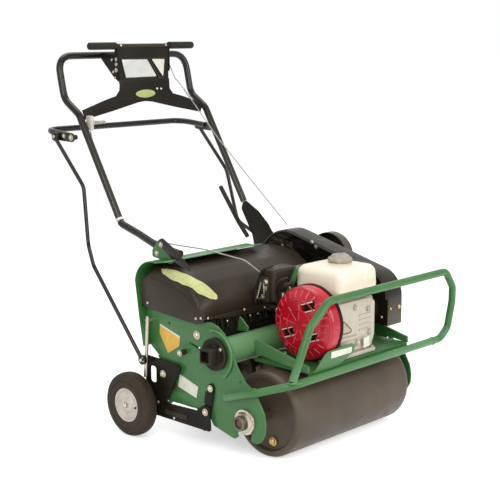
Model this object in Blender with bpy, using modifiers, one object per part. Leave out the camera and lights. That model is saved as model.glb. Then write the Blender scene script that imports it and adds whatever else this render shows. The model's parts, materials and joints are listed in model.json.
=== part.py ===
"""Walk-behind drum lawn aerator, built from separate sub-parts.

Metres, +Z up. The operator stands on the +Y side and the machine travels to -Y.
The operator's right is the -X side, which faces the reference view.
Numbers below are laid out with the drum axle above X = 0, Y = 0; the last step
moves the whole machine so that its bounding box stands centred on the origin.
"""
import math

import bmesh
import bpy
from mathutils import Matrix, Vector

# Frame
GROUND_Z = 0.0
PLATE_GAP_HALF = 0.322        # inner face of each side plate from the middle
PLATE_T = 0.006
FIT = 0.0004                  # gap between pieces that touch
BOLT_FIT = 0.0008             # gap round a pin or shaft
PIVOT_PLAY = 0.004            # extra play of the opened lift pivot

# Front drum
DRUM_R = 0.120
DRUM_LEN = 0.496
DRUM_EDGE_R = 0.012
DRUM_RECESS = 0.010
DRUM_JOURNAL_R = 0.0125
BEARING_R = 0.036
BEARING_T = 0.016
BEARING_HUB_R = 0.021
BEARING_HUB_T = 0.011
PLUG_R = 0.011
PLUG_T = 0.008
PLUG_OFFSET = 0.076
PLUG_ANGLE = math.radians(-75)

# Cross tube and the carrier on its near end
TUBE_Y = 0.110
TUBE_Z = 0.287
TUBE_R = 0.038
TUBE_CLEAR = 0.002            # gap where the belt guard is notched round the tube
TUBE_WALL = 0.005
CARRIER_R = 0.045
CARRIER_T = 0.014
CARRIER_BOSS = 0.038
CARRIER_BOSS_T = 0.030
CARRIER_ARM_Y = 0.232
CARRIER_ARM_Z = 0.270
CARRIER_ARM_R = 0.015
CARRIER_ARM_T = 0.006
CARRIER_POST_R = 0.008

# Tine reel
REEL_Y = 0.278
REEL_Z = 0.160
REEL_R = 0.146
REEL_SHAFT_R = 0.0125
REEL_NEAR = -0.262            # outermost tine wheels
REEL_FAR = 0.206
TINE_WHEELS = 6
TINES = 5                     # on each wheel
TINE_WHEEL_R = 0.075
TINE_WHEEL_T = 0.016
TINE_WHEEL_SIDES = 3 * TINES  # flats on the rim, so that each tine stands on one
TINE_HUB_R = 0.025
TINE_HUB_T = 0.026
TINE_R = 0.007

# Jackshaft, drive pulleys and chain
JACK_Y = 0.300
JACK_Z = 0.430
JACK_R = 0.010
JACK_PULLEY_R = 0.082
CRANK_Y = -0.031
CRANK_Z = 0.359
CRANK_R = 0.010
ENGINE_PULLEY_R = 0.034
PULLEY_T = 0.014
PULLEY_GROOVE = 0.006
BELT_T = 0.007
SPROCKET_R = 0.034
SPROCKET_T = 0.004
CHAIN_T = 0.008
CHAIN_W = 0.006
CHAIN_X = 0.2620               # between the belt guard and the left side plate
IDLER_R = 0.026
IDLER_ALONG = 0.45            # place of the idler along the belt, engine to jackshaft
IDLER_CLEAR = 0.012           # gap to the belt while the drive bar is let go
IDLER_FOOT_ALONG = 0.22
IDLER_FOOT_DROP = 0.010
IDLER_PIN_R = 0.004
IDLER_ARM_T = 0.004

# Belt guard
GUARD_IN_X = 0.1600           # face towards the engine
GUARD_DEPTH = 0.070
GUARD_T = 0.002
GUARD_FRONT_R = 0.080         # upper front corner
GUARD_NOSE_Y = -0.101         # flat front end
GUARD_NOSE_Z = 0.390          # height of the upper corner's centre
GUARD_CHIN_Z = 0.311          # lower front edge
GUARD_TAIL_BACK = 0.010       # the rear end's centre stands ahead of the jackshaft
GUARD_TAIL_UP = 0.006
GUARD_REAR_R = 0.112
GUARD_PORT_R = 0.038
GUARD_WINDOW_R = 0.050         # round end of the window over the jackshaft
GUARD_WINDOW_TIP_R = 0.024
GUARD_WINDOW_BACK = 0.010
GUARD_WINDOW_FRONT = 0.085
GUARD_WINDOW_UP = 0.020
GUARD_WINDOW_DROP = 0.004
SHAFT_COVER_R = 0.076
SHAFT_COVER_Y = 0.262
SHAFT_COVER_Z = 0.447
SHAFT_COVER_DEPTH = 0.040

# Engine deck and arms
DECK_Z = 0.2475
DECK_T = 0.006
DECK_FRONT = -0.118
DECK_BACK = 0.082
DECK_NEAR = -0.205
DECK_FAR = 0.235
ARM_H = 0.030
DECK_LIP = 0.022

# Engine
RECOIL_R = 0.104
RECOIL_BACK = -0.088
RECOIL_RIM = -0.126
RECOIL_FACE = -0.150
CASE_NEAR = -0.0855
CASE_FAR = 0.105
CASE_FRONT = -0.098
CASE_BACK = 0.050
CASE_TOP = 0.416
CASE_FOOT_T = 0.012
HEAD_FINS = 5
HEAD_BACK = 0.128
HEAD_LOW = 0.334
HEAD_FIN_PITCH = 0.0115
TANK_NEAR = -0.066
TANK_FAR = 0.112
TANK_FRONT = -0.110
TANK_BACK = 0.066
TANK_LOW = 0.424
TANK_TOP = 0.505
CAP_X = 0.047
CAP_Y = -0.014
CAP_R = 0.036
CAP_H = 0.024
CLEANER_NEAR = -0.122
CLEANER_W = 0.100
BACK_UNIT_Y0 = 0.084
BACK_UNIT_Y1 = 0.141
CLEANER_LOW = 0.396
CLEANER_TOP = 0.492
MUFFLER_NEAR = 0.004
MUFFLER_W = 0.092
CHOKE_LEN = 0.030
GRIP_W = 0.034
GRIP_R = 0.007

# Tine cover and rear panel
PANEL_T = 0.003
PANEL_NEAR = -0.348
CURL_R = 0.073
CURL_FAR = 0.050
COVER_NEAR = -0.3370
COVER_FAR = 0.156              # stops short of the belt guard
COVER_WALL = 0.0035
COVER_END_R = 0.020
COVER_LOW = 0.376

# Handle
HANDLE_R = 0.011
HANDLE_HALF = 0.267
PANEL_FAR = HANDLE_HALF - 0.031   # the rear panel's far end, by the handle's left leg
HANDLE_TOP_Z = 1.074
HANDLE_TOP_Y = 0.850
HANDLE_CORNER_R = 0.055
HANDLE_SLEEVE_GAP = 0.0006
HEAD_Y = 0.750
GRIP_TOP_Z = 1.104
GRIP_HALF = 0.217
GRIP_LEN = 0.105
GRIP_TUBE_R = 0.0065
GRIP_RUBBER_R = 0.0115
DRIVE_Y = 0.760
DRIVE_PIVOT_Z = GRIP_TOP_Z - 0.074
CONTROL_LOW = GRIP_TOP_Z - 0.119
CONTROL_TOP = GRIP_TOP_Z - 0.032
DRIVE_PIN_R = 0.0035
DRIVE_LEVER_T = 0.004
DRIVE_STRAP_H = 0.012
SHEET_T = 0.0025
EAR_X = 0.104                 # outer face of each ear of the control panel

# Lift bail, rods and wheel arms
BAIL_R = 0.0095
BAIL_HALF = 0.288
BAIL_PIVOT_Y = 0.754
BAIL_PIVOT_Z = 0.833
BAIL_PLATE_T = 0.004
BAIL_ROD_REACH = 0.066
BAIL_REACH = 0.140
ROD_R = 0.006
ROD_LOW_X = 0.356
ROD_LOW_Y = 0.380
ROD_LOW_Z = 0.224
ROD_EYE_R = 0.0140
ROD_PIN_R = 0.0045
WHEEL_PIVOT_Y = 0.140
WHEEL_PIVOT_Z = 0.118
LINK_TOP_Y = 0.127
LINK_TOP_Z = 0.187
LINK_R = 0.013
LINK_PIN_R = 0.006
WHEEL_ARM_X = 0.3346          # inner face of each arm from the middle
WHEEL_ARM_T = 0.006
WHEEL_Y = 0.406
WHEEL_R = 0.093
WHEEL_W = 0.048
WHEEL_IN_X = 0.3530

RIM_LIP_R = 0.047
WHEEL_AXLE_R = 0.0075

# Front guard rail
RAIL_R = 0.0110
RAIL_Z = 0.238
RAIL_Y = -0.1315
RAIL_TOP_Z = 0.447
RAIL_TOP_Y = -0.148
RAIL_FAR = 0.428
RAIL_BEND_R = 0.035

# Throttle and cables
THROTTLE_Y = 0.722
THROTTLE_Z = 0.876
THROTTLE_LEVER_LEN = 0.050
CABLE_R = 0.0028
THROTTLE_CABLE_R = 0.0022

OBJECT_NAME = "lawn_aerator"
CIRCLE_STEPS = 20

COLOURS = {
    "green_paint": ((0.085, 0.270, 0.095, 1), 0.45, 0.0),
    "black_paint": ((0.030, 0.026, 0.020, 1), 0.42, 0.0),
    "black_plastic": ((0.045, 0.037, 0.028, 1), 0.40, 0.0),
    "drum_brown": ((0.100, 0.078, 0.060, 1), 0.55, 0.0),
    "tyre_rubber": ((0.050, 0.040, 0.030, 1), 0.80, 0.0),
    "rim_grey": ((0.520, 0.500, 0.460, 1), 0.45, 0.0),
    "zinc": ((0.600, 0.560, 0.480, 1), 0.35, 0.9),
    "brass": ((0.620, 0.480, 0.260, 1), 0.35, 0.9),
    "steel": ((0.300, 0.290, 0.270, 1), 0.40, 0.9),
    "engine_red": ((0.560, 0.006, 0.030, 1), 0.35, 0.0),
    "engine_grey": ((0.420, 0.390, 0.340, 1), 0.50, 0.6),
    "tank_cream": ((0.900, 0.820, 0.700, 1), 0.35, 0.0),
    "cap_grey": ((0.450, 0.420, 0.380, 1), 0.50, 0.0),
    "grip_rubber": ((0.025, 0.022, 0.018, 1), 0.70, 0.0),
    "belt_rubber": ((0.030, 0.028, 0.026, 1), 0.75, 0.0),
    "cable_sheath": ((0.040, 0.040, 0.040, 1), 0.50, 0.0),
}

ALONG_X = Matrix.Rotation(math.pi / 2, 4, "Z") @ Matrix.Rotation(math.pi / 2, 4, "X")
SCREW_TO_X = Matrix.Rotation(math.pi / 2, 4, "Y")


# Scene helpers

def clear_scene():
    for item in list(bpy.data.objects):
        bpy.data.objects.remove(item, do_unlink=True)


def make_collection(name):
    group = bpy.data.collections.new(name)
    bpy.context.scene.collection.children.link(group)
    return group


def make_material(name):
    colour, roughness, metallic = COLOURS[name]
    material = bpy.data.materials.new(name)
    material.use_nodes = True
    shader = material.node_tree.nodes["Principled BSDF"]
    shader.inputs["Base Color"].default_value = colour
    shader.inputs["Roughness"].default_value = roughness
    shader.inputs["Metallic"].default_value = metallic
    material.diffuse_color = colour
    return material


clear_scene()
PARTS = make_collection(OBJECT_NAME)
CUTTERS = make_collection("construction")
MATERIALS = {name: make_material(name) for name in COLOURS}


def add(name, data, material, place=None, parent=None, group=None):
    item = bpy.data.objects.new(name, data)
    (group or PARTS).objects.link(item)
    if material:
        data.materials.append(MATERIALS[material])
    if place is not None:
        item.matrix_world = place
    if parent is not None:
        item.parent = parent
        item.matrix_parent_inverse = parent.matrix_world.inverted()
    return item


def pivot(name, place):
    """An empty on a joint's axis, which the moving piece hangs on."""
    item = bpy.data.objects.new(name, None)
    item.empty_display_size = 0.03
    item.matrix_world = Matrix.Translation(place)
    PARTS.objects.link(item)
    bpy.context.view_layer.update()
    return item


def smooth(item, angle=35):
    item.data.polygons.foreach_set("use_smooth", [True] * len(item.data.polygons))
    item.data.set_sharp_from_angle(angle=math.radians(angle))
    return item


def mesh_from(builder, name):
    shape = bmesh.new()
    builder(shape)
    data = bpy.data.meshes.new(name)
    shape.to_mesh(data)
    shape.free()
    return data


def box(name, low, high, material, bevel=0.0, segments=2, **options):
    size = [h - l for l, h in zip(low, high)]
    middle = [(h + l) / 2 for l, h in zip(low, high)]

    def build(shape):
        bmesh.ops.create_cube(shape, size=1.0)
        bmesh.ops.scale(shape, vec=size, verts=shape.verts)

    item = add(name, mesh_from(build, name), material, Matrix.Translation(middle), **options)
    if bevel:
        rounder = item.modifiers.new("round", "BEVEL")
        rounder.width = bevel
        rounder.segments = segments
    return item


def rod_x(name, radius, x_low, x_high, y, z, material, steps=CIRCLE_STEPS, **options):
    """A plain cylinder along X."""
    def build(shape):
        bmesh.ops.create_cone(shape, cap_ends=True, segments=steps, radius1=radius,
                              radius2=radius, depth=x_high - x_low)

    place = Matrix.Translation(((x_low + x_high) / 2, y, z)) @ SCREW_TO_X
    item = add(name, mesh_from(build, name), material, place, **options)
    return smooth(item) if material else item


def rod_between(name, start, end, radius, material, steps=16, **options):
    """A plain cylinder between two points."""
    start, end = Vector(start), Vector(end)

    def build(shape):
        bmesh.ops.create_cone(shape, cap_ends=True, segments=steps, radius1=radius,
                              radius2=radius, depth=(end - start).length)

    turn = (end - start).to_track_quat("Z", "Y").to_matrix().to_4x4()
    place = Matrix.Translation((start + end) / 2) @ turn
    item = add(name, mesh_from(build, name), material, place, **options)
    return smooth(item) if material else item


def lathe_x(name, profile, y, z, material, steps=CIRCLE_STEPS, **options):
    """A turned piece about an X axis; profile holds (x, radius), from +X end to -X end."""
    def build(shape):
        corners = [shape.verts.new((radius, 0.0, x)) for x, radius in profile]
        for first, second in zip(corners, corners[1:]):
            shape.edges.new((first, second))
        if profile[0][1] > 0 and profile[0] != profile[-1]:
            shape.edges.new((corners[-1], corners[0]))

    place = Matrix.Translation((0, y, z)) @ SCREW_TO_X
    item = add(name, mesh_from(build, name), material, place, **options)
    turn = item.modifiers.new("turn", "SCREW")
    turn.axis = "Z"
    turn.angle = math.tau
    turn.steps = steps
    turn.render_steps = steps
    turn.use_merge_vertices = True
    turn.merge_threshold = 0.00005
    turn.use_smooth_shade = True
    return item


def closed_curve(name, loops):
    """A filled flat outline made of closed loops; inner loops are holes."""
    data = bpy.data.curves.new(name, "CURVE")
    data.dimensions = "2D"
    data.fill_mode = "BOTH"
    for loop in loops:
        spline = data.splines.new("POLY")
        spline.points.add(len(loop) - 1)
        for point, corner in zip(spline.points, loop):
            point.co = (corner[0], corner[1], 0.0, 1.0)
        spline.use_cyclic_u = True
    return data


def curve_to_mesh(item):
    """Turns a curve object to a mesh with its seams merged, ready for a Boolean."""
    bpy.context.view_layer.update()
    graph = bpy.context.evaluated_depsgraph_get()
    data = bpy.data.meshes.new_from_object(item.evaluated_get(graph))
    shape = bmesh.new()
    shape.from_mesh(data)
    bmesh.ops.remove_doubles(shape, verts=shape.verts, dist=0.00001)
    shape.to_mesh(data)
    shape.free()
    name, group = item.name, item.users_collection[0]
    place, parent = item.matrix_world.copy(), item.parent
    materials = [m for m in item.data.materials if m]
    bpy.data.objects.remove(item, do_unlink=True)
    solid = bpy.data.objects.new(name, data)
    group.objects.link(solid)
    if parent is not None:
        solid.parent = parent
        solid.matrix_parent_inverse = parent.matrix_world.inverted()
    solid.matrix_world = place
    if not data.materials:
        for material in materials:
            data.materials.append(material)
    return solid


def sheet_x(name, loops, x_low, x_high, material, bevel=0.0, **options):
    """A flat outline in Y and Z, given thickness along X."""
    data = closed_curve(name, loops)
    data.extrude = (x_high - x_low) / 2
    if bevel:
        data.extrude -= bevel
        data.bevel_depth = bevel
        data.bevel_resolution = 1
        data.offset = -bevel
    place = Matrix.Translation(((x_low + x_high) / 2, 0, 0)) @ ALONG_X
    item = add(name, data, material, place, **options)
    return curve_to_mesh(item)


def sheet_y(name, loops, y_low, y_high, material, **options):
    """A flat outline in X and Z, given thickness along Y."""
    data = closed_curve(name, loops)
    data.extrude = (y_high - y_low) / 2
    place = Matrix.Translation((0, (y_low + y_high) / 2, 0)) @ Matrix.Rotation(math.pi / 2, 4, "X")
    item = add(name, data, material, place, **options)
    return curve_to_mesh(item)


def tube(name, points, radius, material, bevel_resolution=2, **options):
    """A round bar or tube along points."""
    data = bpy.data.curves.new(name, "CURVE")
    data.dimensions = "3D"
    data.bevel_depth = radius
    data.bevel_resolution = bevel_resolution
    data.use_fill_caps = True
    spline = data.splines.new("POLY")
    spline.points.add(len(points) - 1)
    for point, corner in zip(spline.points, points):
        point.co = (*corner, 1.0)
    spline.use_smooth = True
    item = add(name, data, material, Matrix.Identity(4), **options)
    return smooth(curve_to_mesh(item), 40)


def boolean(item, other, operation):
    step = item.modifiers.new(operation.lower(), "BOOLEAN")
    step.operation = operation
    step.solver = "EXACT"
    step.object = other
    if other.parent is None and item.parent is not None:
        other.parent = item.parent
        other.matrix_parent_inverse = item.parent.matrix_world.inverted()
    for group in list(other.users_collection):
        group.objects.unlink(other)
    CUTTERS.objects.link(other)
    other.hide_render = True
    other.display_type = "WIRE"
    return item


def join(item, *others):
    for other in others:
        boolean(item, other, "UNION")
    return item


def cut(item, *others):
    for other in others:
        boolean(item, other, "DIFFERENCE")
    return item


# Outline helpers

def circle(y, z, radius, steps=CIRCLE_STEPS):
    turn = math.tau / steps
    return [(y + radius * math.cos(i * turn), z + radius * math.sin(i * turn)) for i in range(steps)]


def arc(y, z, radius, start, end, steps=8):
    """Points on an arc between two angles in degrees."""
    points = []
    for i in range(steps + 1):
        angle = math.radians(start + (end - start) * i / steps)
        points.append((y + radius * math.cos(angle), z + radius * math.sin(angle)))
    return points


def capsule(first, second, radius, second_radius=None, steps=8):
    """The outline round two circles and their common tangents."""
    second_radius = radius if second_radius is None else second_radius
    (y1, z1), (y2, z2) = first, second
    length = math.hypot(y2 - y1, z2 - z1)
    along = math.degrees(math.atan2(z2 - z1, y2 - y1))
    lean = math.degrees(math.asin((radius - second_radius) / length))
    top = 90 - lean
    points = arc(y1, z1, radius, along + top, along + 360 - top, steps)
    points += arc(y2, z2, second_radius, along - top, along + top, steps)
    return points


def rounded(corners, radius, steps=3, closed=True):
    """Rounds the corners of an outline or a path with arcs of one radius."""
    count = len(corners)
    result = []
    for i, corner in enumerate(corners):
        corner = Vector(corner)
        if not closed and i in (0, count - 1):
            result.append(tuple(corner))
            continue
        before = Vector(corners[i - 1]) - corner
        after = Vector(corners[(i + 1) % count]) - corner
        half = before.angle(after) / 2
        reach = min(radius / math.tan(half), before.length * 0.48, after.length * 0.48)
        start = corner + before.normalized() * reach
        end = corner + after.normalized() * reach
        for k in range(steps + 1):
            t = k / steps
            result.append(tuple(start * (1 - t) ** 2 + corner * 2 * t * (1 - t) + end * t ** 2))
    return result


def strip(line, thickness):
    """A closed outline of one thickness along an open line, laid to its left side."""
    offset = []
    for i, point in enumerate(line):
        before = Vector(line[max(i - 1, 0)])
        after = Vector(line[min(i + 1, len(line) - 1)])
        ahead = (after - before).normalized()
        side = Vector((-ahead.y, ahead.x))
        offset.append(tuple(Vector(point) + side * thickness))
    return list(line) + offset[::-1]


def spaced(low, high, count):
    return [low + (high - low) * i / (count - 1) for i in range(count)]


def mirror_x(point):
    return (-point[0], *point[1:])


# Frame

PLATE_OUT = PLATE_GAP_HALF + PLATE_T
SLOT_HALF = DRUM_JOURNAL_R + 0.012


def plate_outline():
    """One side plate in Y and Z, with the open slot for the drum axle."""
    upper = [(0.376, 0.262), (0.388, 0.335), (0.391, 0.400), (0.382, 0.432), (0.355, 0.452),
             (0.310, 0.452), (0.262, 0.430), (0.205, 0.392), (0.165, 0.366)]
    lobe = [(0.135, 0.371), (0.105, 0.364), (0.078, 0.345), (0.052, 0.308), (0.034, 0.268)]
    nose = [(0.002, 0.228), (-0.024, 0.212), (-0.044, 0.192), (-0.066, 0.156), (-0.072, 0.127),
            (-0.070, 0.100), (-0.058, 0.078), (-0.044, 0.066), (-SLOT_HALF, 0.068)]
    slot = arc(0.0, DRUM_R, SLOT_HALF, 180, 0, 8)
    foot = [(SLOT_HALF, 0.072), (0.040, 0.062), (0.054, 0.064), (0.122, 0.081), (0.134, 0.100),
            (0.160, 0.115), (0.326, 0.113), (0.334, 0.222), (0.350, 0.244)]
    return upper + lobe + nose + slot + foot


def build_side_plates():
    holes = [circle(TUBE_Y, TUBE_Z, TUBE_R + FIT),
             circle(REEL_Y, REEL_Z, REEL_SHAFT_R + BOLT_FIT, 20),
             circle(0.019, 0.225, 0.0035, 8),
             circle(0.050, 0.268, 0.0035, 8),
             circle(0.296, 0.341, 0.0035, 8)]
    sheet_x("side_plate_right", [plate_outline(), *holes],
            -PLATE_OUT, -PLATE_GAP_HALF, "green_paint")
    shaft_hole = circle(JACK_Y, JACK_Z, JACK_R + BOLT_FIT, 20)
    sheet_x("side_plate_left", [plate_outline(), *holes, shaft_hole],
            PLATE_GAP_HALF, PLATE_OUT, "green_paint")


def build_cross_tube():
    reach = PLATE_OUT
    outside = rod_x("cross_tube", TUBE_R, -reach, reach, TUBE_Y, TUBE_Z, "green_paint")
    inside = rod_x("cross_tube_bore", TUBE_R - TUBE_WALL, -reach - 0.01, reach + 0.01,
                   TUBE_Y, TUBE_Z, None)
    cut(outside, inside)
    face = -reach - FIT
    carrier = rod_x("hub_carrier", CARRIER_R, face - CARRIER_T, face, TUBE_Y, TUBE_Z, "black_paint")
    arm = sheet_x("hub_carrier_arm", [capsule((TUBE_Y, TUBE_Z), (CARRIER_ARM_Y, CARRIER_ARM_Z),
                                              CARRIER_ARM_R * 1.6, CARRIER_ARM_R)],
                  face - CARRIER_T - CARRIER_ARM_T, face - CARRIER_T + 0.001, None)
    post = rod_x("hub_carrier_post", CARRIER_POST_R, face - CARRIER_T - CARRIER_ARM_T / 2, face,
                 CARRIER_ARM_Y, CARRIER_ARM_Z, None)
    half = CARRIER_BOSS / 2
    boss = box("hub_carrier_boss",
               (face - CARRIER_T - CARRIER_BOSS_T, TUBE_Y - half, TUBE_Z - half),
               (face - CARRIER_T * 0.5, TUBE_Y + half, TUBE_Z + half), None, 0.003)
    join(carrier, arm, post, boss)


def build_deck():
    top = DECK_Z + DECK_T
    deck = box("engine_deck", (DECK_NEAR, DECK_FRONT, DECK_Z), (DECK_FAR, DECK_BACK, top),
               "green_paint")
    lip = box("engine_deck_lip", (DECK_NEAR, DECK_FRONT, DECK_Z - DECK_LIP),
              (DECK_FAR, DECK_FRONT + DECK_T * 0.7, DECK_Z + DECK_T / 2), None)
    tab_outline = [(-0.190, DECK_Z), (-0.140, 0.292), (-0.128, 0.297), (-0.026, 0.301),
                   (-0.012, 0.292), (-0.020, 0.276), (-0.090, DECK_Z)]
    tab = sheet_y("engine_deck_tab", [tab_outline], DECK_FRONT - 0.0035, DECK_FRONT + 0.0005, None)
    join(deck, lip, tab)
    for name, side, edge in (("right", -1, DECK_NEAR), ("left", 1, DECK_FAR)):
        inner = edge - side * 0.001
        outer = edge + side * DECK_T
        front = DECK_FRONT
        outline = [(front, DECK_Z + 0.004), (front, DECK_Z + 0.004 + ARM_H * 0.6),
                   (TUBE_Y - TUBE_R * 1.02 - FIT, TUBE_Z + ARM_H / 2 + 0.010),
                   (TUBE_Y - TUBE_R * 1.02 - FIT, TUBE_Z - ARM_H / 2)]
        arm = sheet_x("engine_deck_arm_" + name, [outline], min(inner, outer),
                      max(inner, outer), None)
        join(deck, arm)


def build_rail():
    """The lower bar on the side plate and the guard loop above it."""
    wall = PLATE_OUT + RAIL_R + FIT
    bar_far = RAIL_FAR - 0.085
    bar = rounded([(-wall, 0.062, 0.177), (-wall, -0.048, 0.212), (-0.282, RAIL_Y, RAIL_Z),
                   (bar_far, RAIL_Y, RAIL_Z)], 0.05, 4, closed=False)
    tube("front_bar", bar, RAIL_R, "green_paint")
    loop = [(bar_far + FIT, RAIL_Y, RAIL_Z), (RAIL_FAR - 0.045, RAIL_Y, RAIL_Z),
            (RAIL_FAR - 0.012, RAIL_Y - 0.004, RAIL_Z + 0.030),
            (RAIL_FAR, RAIL_Y - 0.010, 0.350),
            (RAIL_FAR - 0.010, RAIL_TOP_Y, 0.395),
            (RAIL_FAR - 0.048, RAIL_TOP_Y, RAIL_TOP_Z),
            (-0.165, RAIL_TOP_Y, RAIL_TOP_Z),
            (-0.232, RAIL_TOP_Y + 0.006, 0.385),
            (-0.264, RAIL_Y - 0.006, 0.310),
            (-0.288, RAIL_Y, RAIL_Z + RAIL_R + 0.0022)]
    tube("guard_loop", rounded(loop, RAIL_BEND_R, 3, closed=False), RAIL_R, "green_paint")


def panel_line(last_angle, steps):
    """The outer line of the rear panel in Y and Z, from its lower edge round its curl."""
    return [(0.386, 0.262), (0.400, 0.335), *arc(0.345, 0.441, CURL_R, 8, last_angle, steps)]


def build_rear_panel():
    """The curl runs over the tine cover; beside the belt guard only its lower part goes on."""
    full = [*panel_line(100, 8), (0.290, 0.521)]
    panel = sheet_x("rear_panel", [strip(full, PANEL_T)], PANEL_NEAR, CURL_FAR, "green_paint")
    low = sheet_x("rear_panel_low", [strip(panel_line(36, 3), PANEL_T)], CURL_FAR - 0.002, PANEL_FAR,
                  None)
    join(panel, low)
    ear = [(0.392, 0.512), (0.404, 0.532), (0.384, 0.566), (0.372, 0.566), (0.296, 0.545),
           (0.292, 0.5195), (0.330, 0.5150)]
    near = -HANDLE_HALF - 0.0185 - HANDLE_R
    bracket = sheet_x("rear_panel_ear", [ear], near - 0.004, near, None)
    join(panel, bracket)


def cover_outline():
    """The tine cover's outside in Y and Z; it stays inside the rear panel."""
    return [(0.404 - PANEL_T, COVER_LOW), *arc(0.339, 0.440, 0.062, 0, 92, 6), (0.285, 0.4995),
            (0.240, 0.489), (0.196, 0.464), (0.164, 0.424), (0.150, COVER_LOW)]


def build_tine_cover():
    cover = sheet_x("tine_cover", [cover_outline()], COVER_NEAR, COVER_FAR, "black_plastic",
                    bevel=COVER_END_R)
    inner = []
    for y, z in cover_outline():
        middle_y, middle_z = 0.275, COVER_LOW
        span = math.hypot(y - middle_y, z - middle_z)
        shrink = 1 - COVER_WALL / span
        inner.append((middle_y + (y - middle_y) * shrink, middle_z + (z - middle_z) * shrink))
    low = [(inner[0][0], 0.300), *inner[1:-1], (inner[-1][0], 0.300)]
    hollow = sheet_x("tine_cover_hollow", [low], COVER_NEAR + COVER_WALL, COVER_FAR - COVER_WALL,
                     None, bevel=COVER_END_R - 0.002)
    cut(cover, hollow)
    smooth(cover, 30)


# Drum and reel

def build_drum():
    half = DRUM_LEN / 2
    end = PLATE_OUT + BEARING_T + BEARING_HUB_T - 0.004
    profile = [(end, 0.0), (end, DRUM_JOURNAL_R), (half - DRUM_RECESS, DRUM_JOURNAL_R),
               (half - DRUM_RECESS, DRUM_R - 0.022), (half, DRUM_R - 0.018),
               (half, DRUM_R - DRUM_EDGE_R), (half - DRUM_EDGE_R * 0.3, DRUM_R - DRUM_EDGE_R * 0.3),
               (half - DRUM_EDGE_R, DRUM_R)]
    profile += [(-x, radius) for x, radius in reversed(profile)]
    lathe_x("drum", profile, 0.0, DRUM_R, "drum_brown", steps=34)
    plug_y = PLUG_OFFSET * math.cos(PLUG_ANGLE + math.pi)
    plug_z = DRUM_R + PLUG_OFFSET * math.sin(PLUG_ANGLE)
    face = -half + DRUM_RECESS - FIT
    rod_x("drain_plug", PLUG_R, face - PLUG_T, face, plug_y, plug_z, "brass", steps=6)
    for name, side in (("drum_bearing_right", -1), ("drum_bearing_left", 1)):
        face = PLATE_OUT + FIT
        profile = [(face + BEARING_T + BEARING_HUB_T, DRUM_JOURNAL_R + BOLT_FIT),
                   (face + BEARING_T + BEARING_HUB_T, BEARING_HUB_R),
                   (face + BEARING_T * 0.9, BEARING_HUB_R + 0.002),
                   (face + BEARING_T * 0.35, BEARING_R),
                   (face, BEARING_R), (face, DRUM_JOURNAL_R + BOLT_FIT)]
        if side < 0:
            profile = [(-x, radius) for x, radius in reversed(profile)]
        lathe_x(name, profile, 0.0, DRUM_R, "zinc")


def build_reel():
    shaft_end = PLATE_OUT - 0.001
    collar = REEL_SHAFT_R + 0.010
    half = PLATE_GAP_HALF - FIT
    tooth = SPROCKET_T / 2
    profile = [(shaft_end, 0.0), (shaft_end, REEL_SHAFT_R),
               (half, REEL_SHAFT_R), (half, collar), (half - 0.008, collar),
               (half - 0.008, REEL_SHAFT_R), (CHAIN_X + tooth, REEL_SHAFT_R),
               (CHAIN_X + tooth, SPROCKET_R), (CHAIN_X - tooth, SPROCKET_R),
               (CHAIN_X - tooth, REEL_SHAFT_R), (-half + 0.008, REEL_SHAFT_R),
               (-half + 0.008, collar), (-half, collar), (-half, REEL_SHAFT_R),
               (-shaft_end, REEL_SHAFT_R), (-shaft_end, 0.0)]
    lathe_x("reel_shaft", profile, REEL_Y, REEL_Z, "steel", steps=16)
    data = tine_wheel_mesh()
    for index, x in enumerate(spaced(REEL_NEAR, REEL_FAR, TINE_WHEELS)):
        twist = math.tau / TINES * (index / TINE_WHEELS + 0.5)
        place = Matrix.Translation((x, REEL_Y, REEL_Z)) @ Matrix.Rotation(twist, 4, "X")
        add("tine_wheel_%d" % (index + 1), data, None, place)


def tine_wheel_mesh():
    """A steel disc with a hub and coring tines that point outwards from flats on its rim."""
    bore = REEL_SHAFT_R + BOLT_FIT
    hub, disc = TINE_HUB_T / 2, TINE_WHEEL_T / 2
    profile = [(hub, bore), (hub, TINE_HUB_R), (disc, TINE_HUB_R), (disc, TINE_WHEEL_R),
               (-disc, TINE_WHEEL_R), (-disc, TINE_HUB_R), (-hub, TINE_HUB_R), (-hub, bore)]
    wheel = lathe_x("tine_wheel_blank", profile, 0, 0, "steel", steps=TINE_WHEEL_SIDES)
    wheel.modifiers["turn"].use_smooth_shade = False
    first_flat = -math.pi / 2 + math.pi / TINE_WHEEL_SIDES
    tines = []
    for i in range(TINES):
        angle = first_flat + math.tau * i / TINES
        way = Vector((0, math.cos(angle), math.sin(angle)))
        tines.append(rod_between("tine_%d" % i, way * (TINE_WHEEL_R - TINE_R), way * REEL_R,
                                 TINE_R, None, steps=6))
    join(wheel, *tines)
    bpy.context.view_layer.update()
    graph = bpy.context.evaluated_depsgraph_get()
    data = bpy.data.meshes.new_from_object(wheel.evaluated_get(graph))
    data.transform(SCREW_TO_X)
    for item in [wheel, *tines]:
        bpy.data.objects.remove(item, do_unlink=True)
    return data


# Drive inside the guards

GUARD_TRAY_IN = GUARD_IN_X + GUARD_T + FIT
GUARD_OUT_X = GUARD_IN_X + GUARD_DEPTH
BELT_X = GUARD_IN_X + GUARD_DEPTH * 0.5


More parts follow.
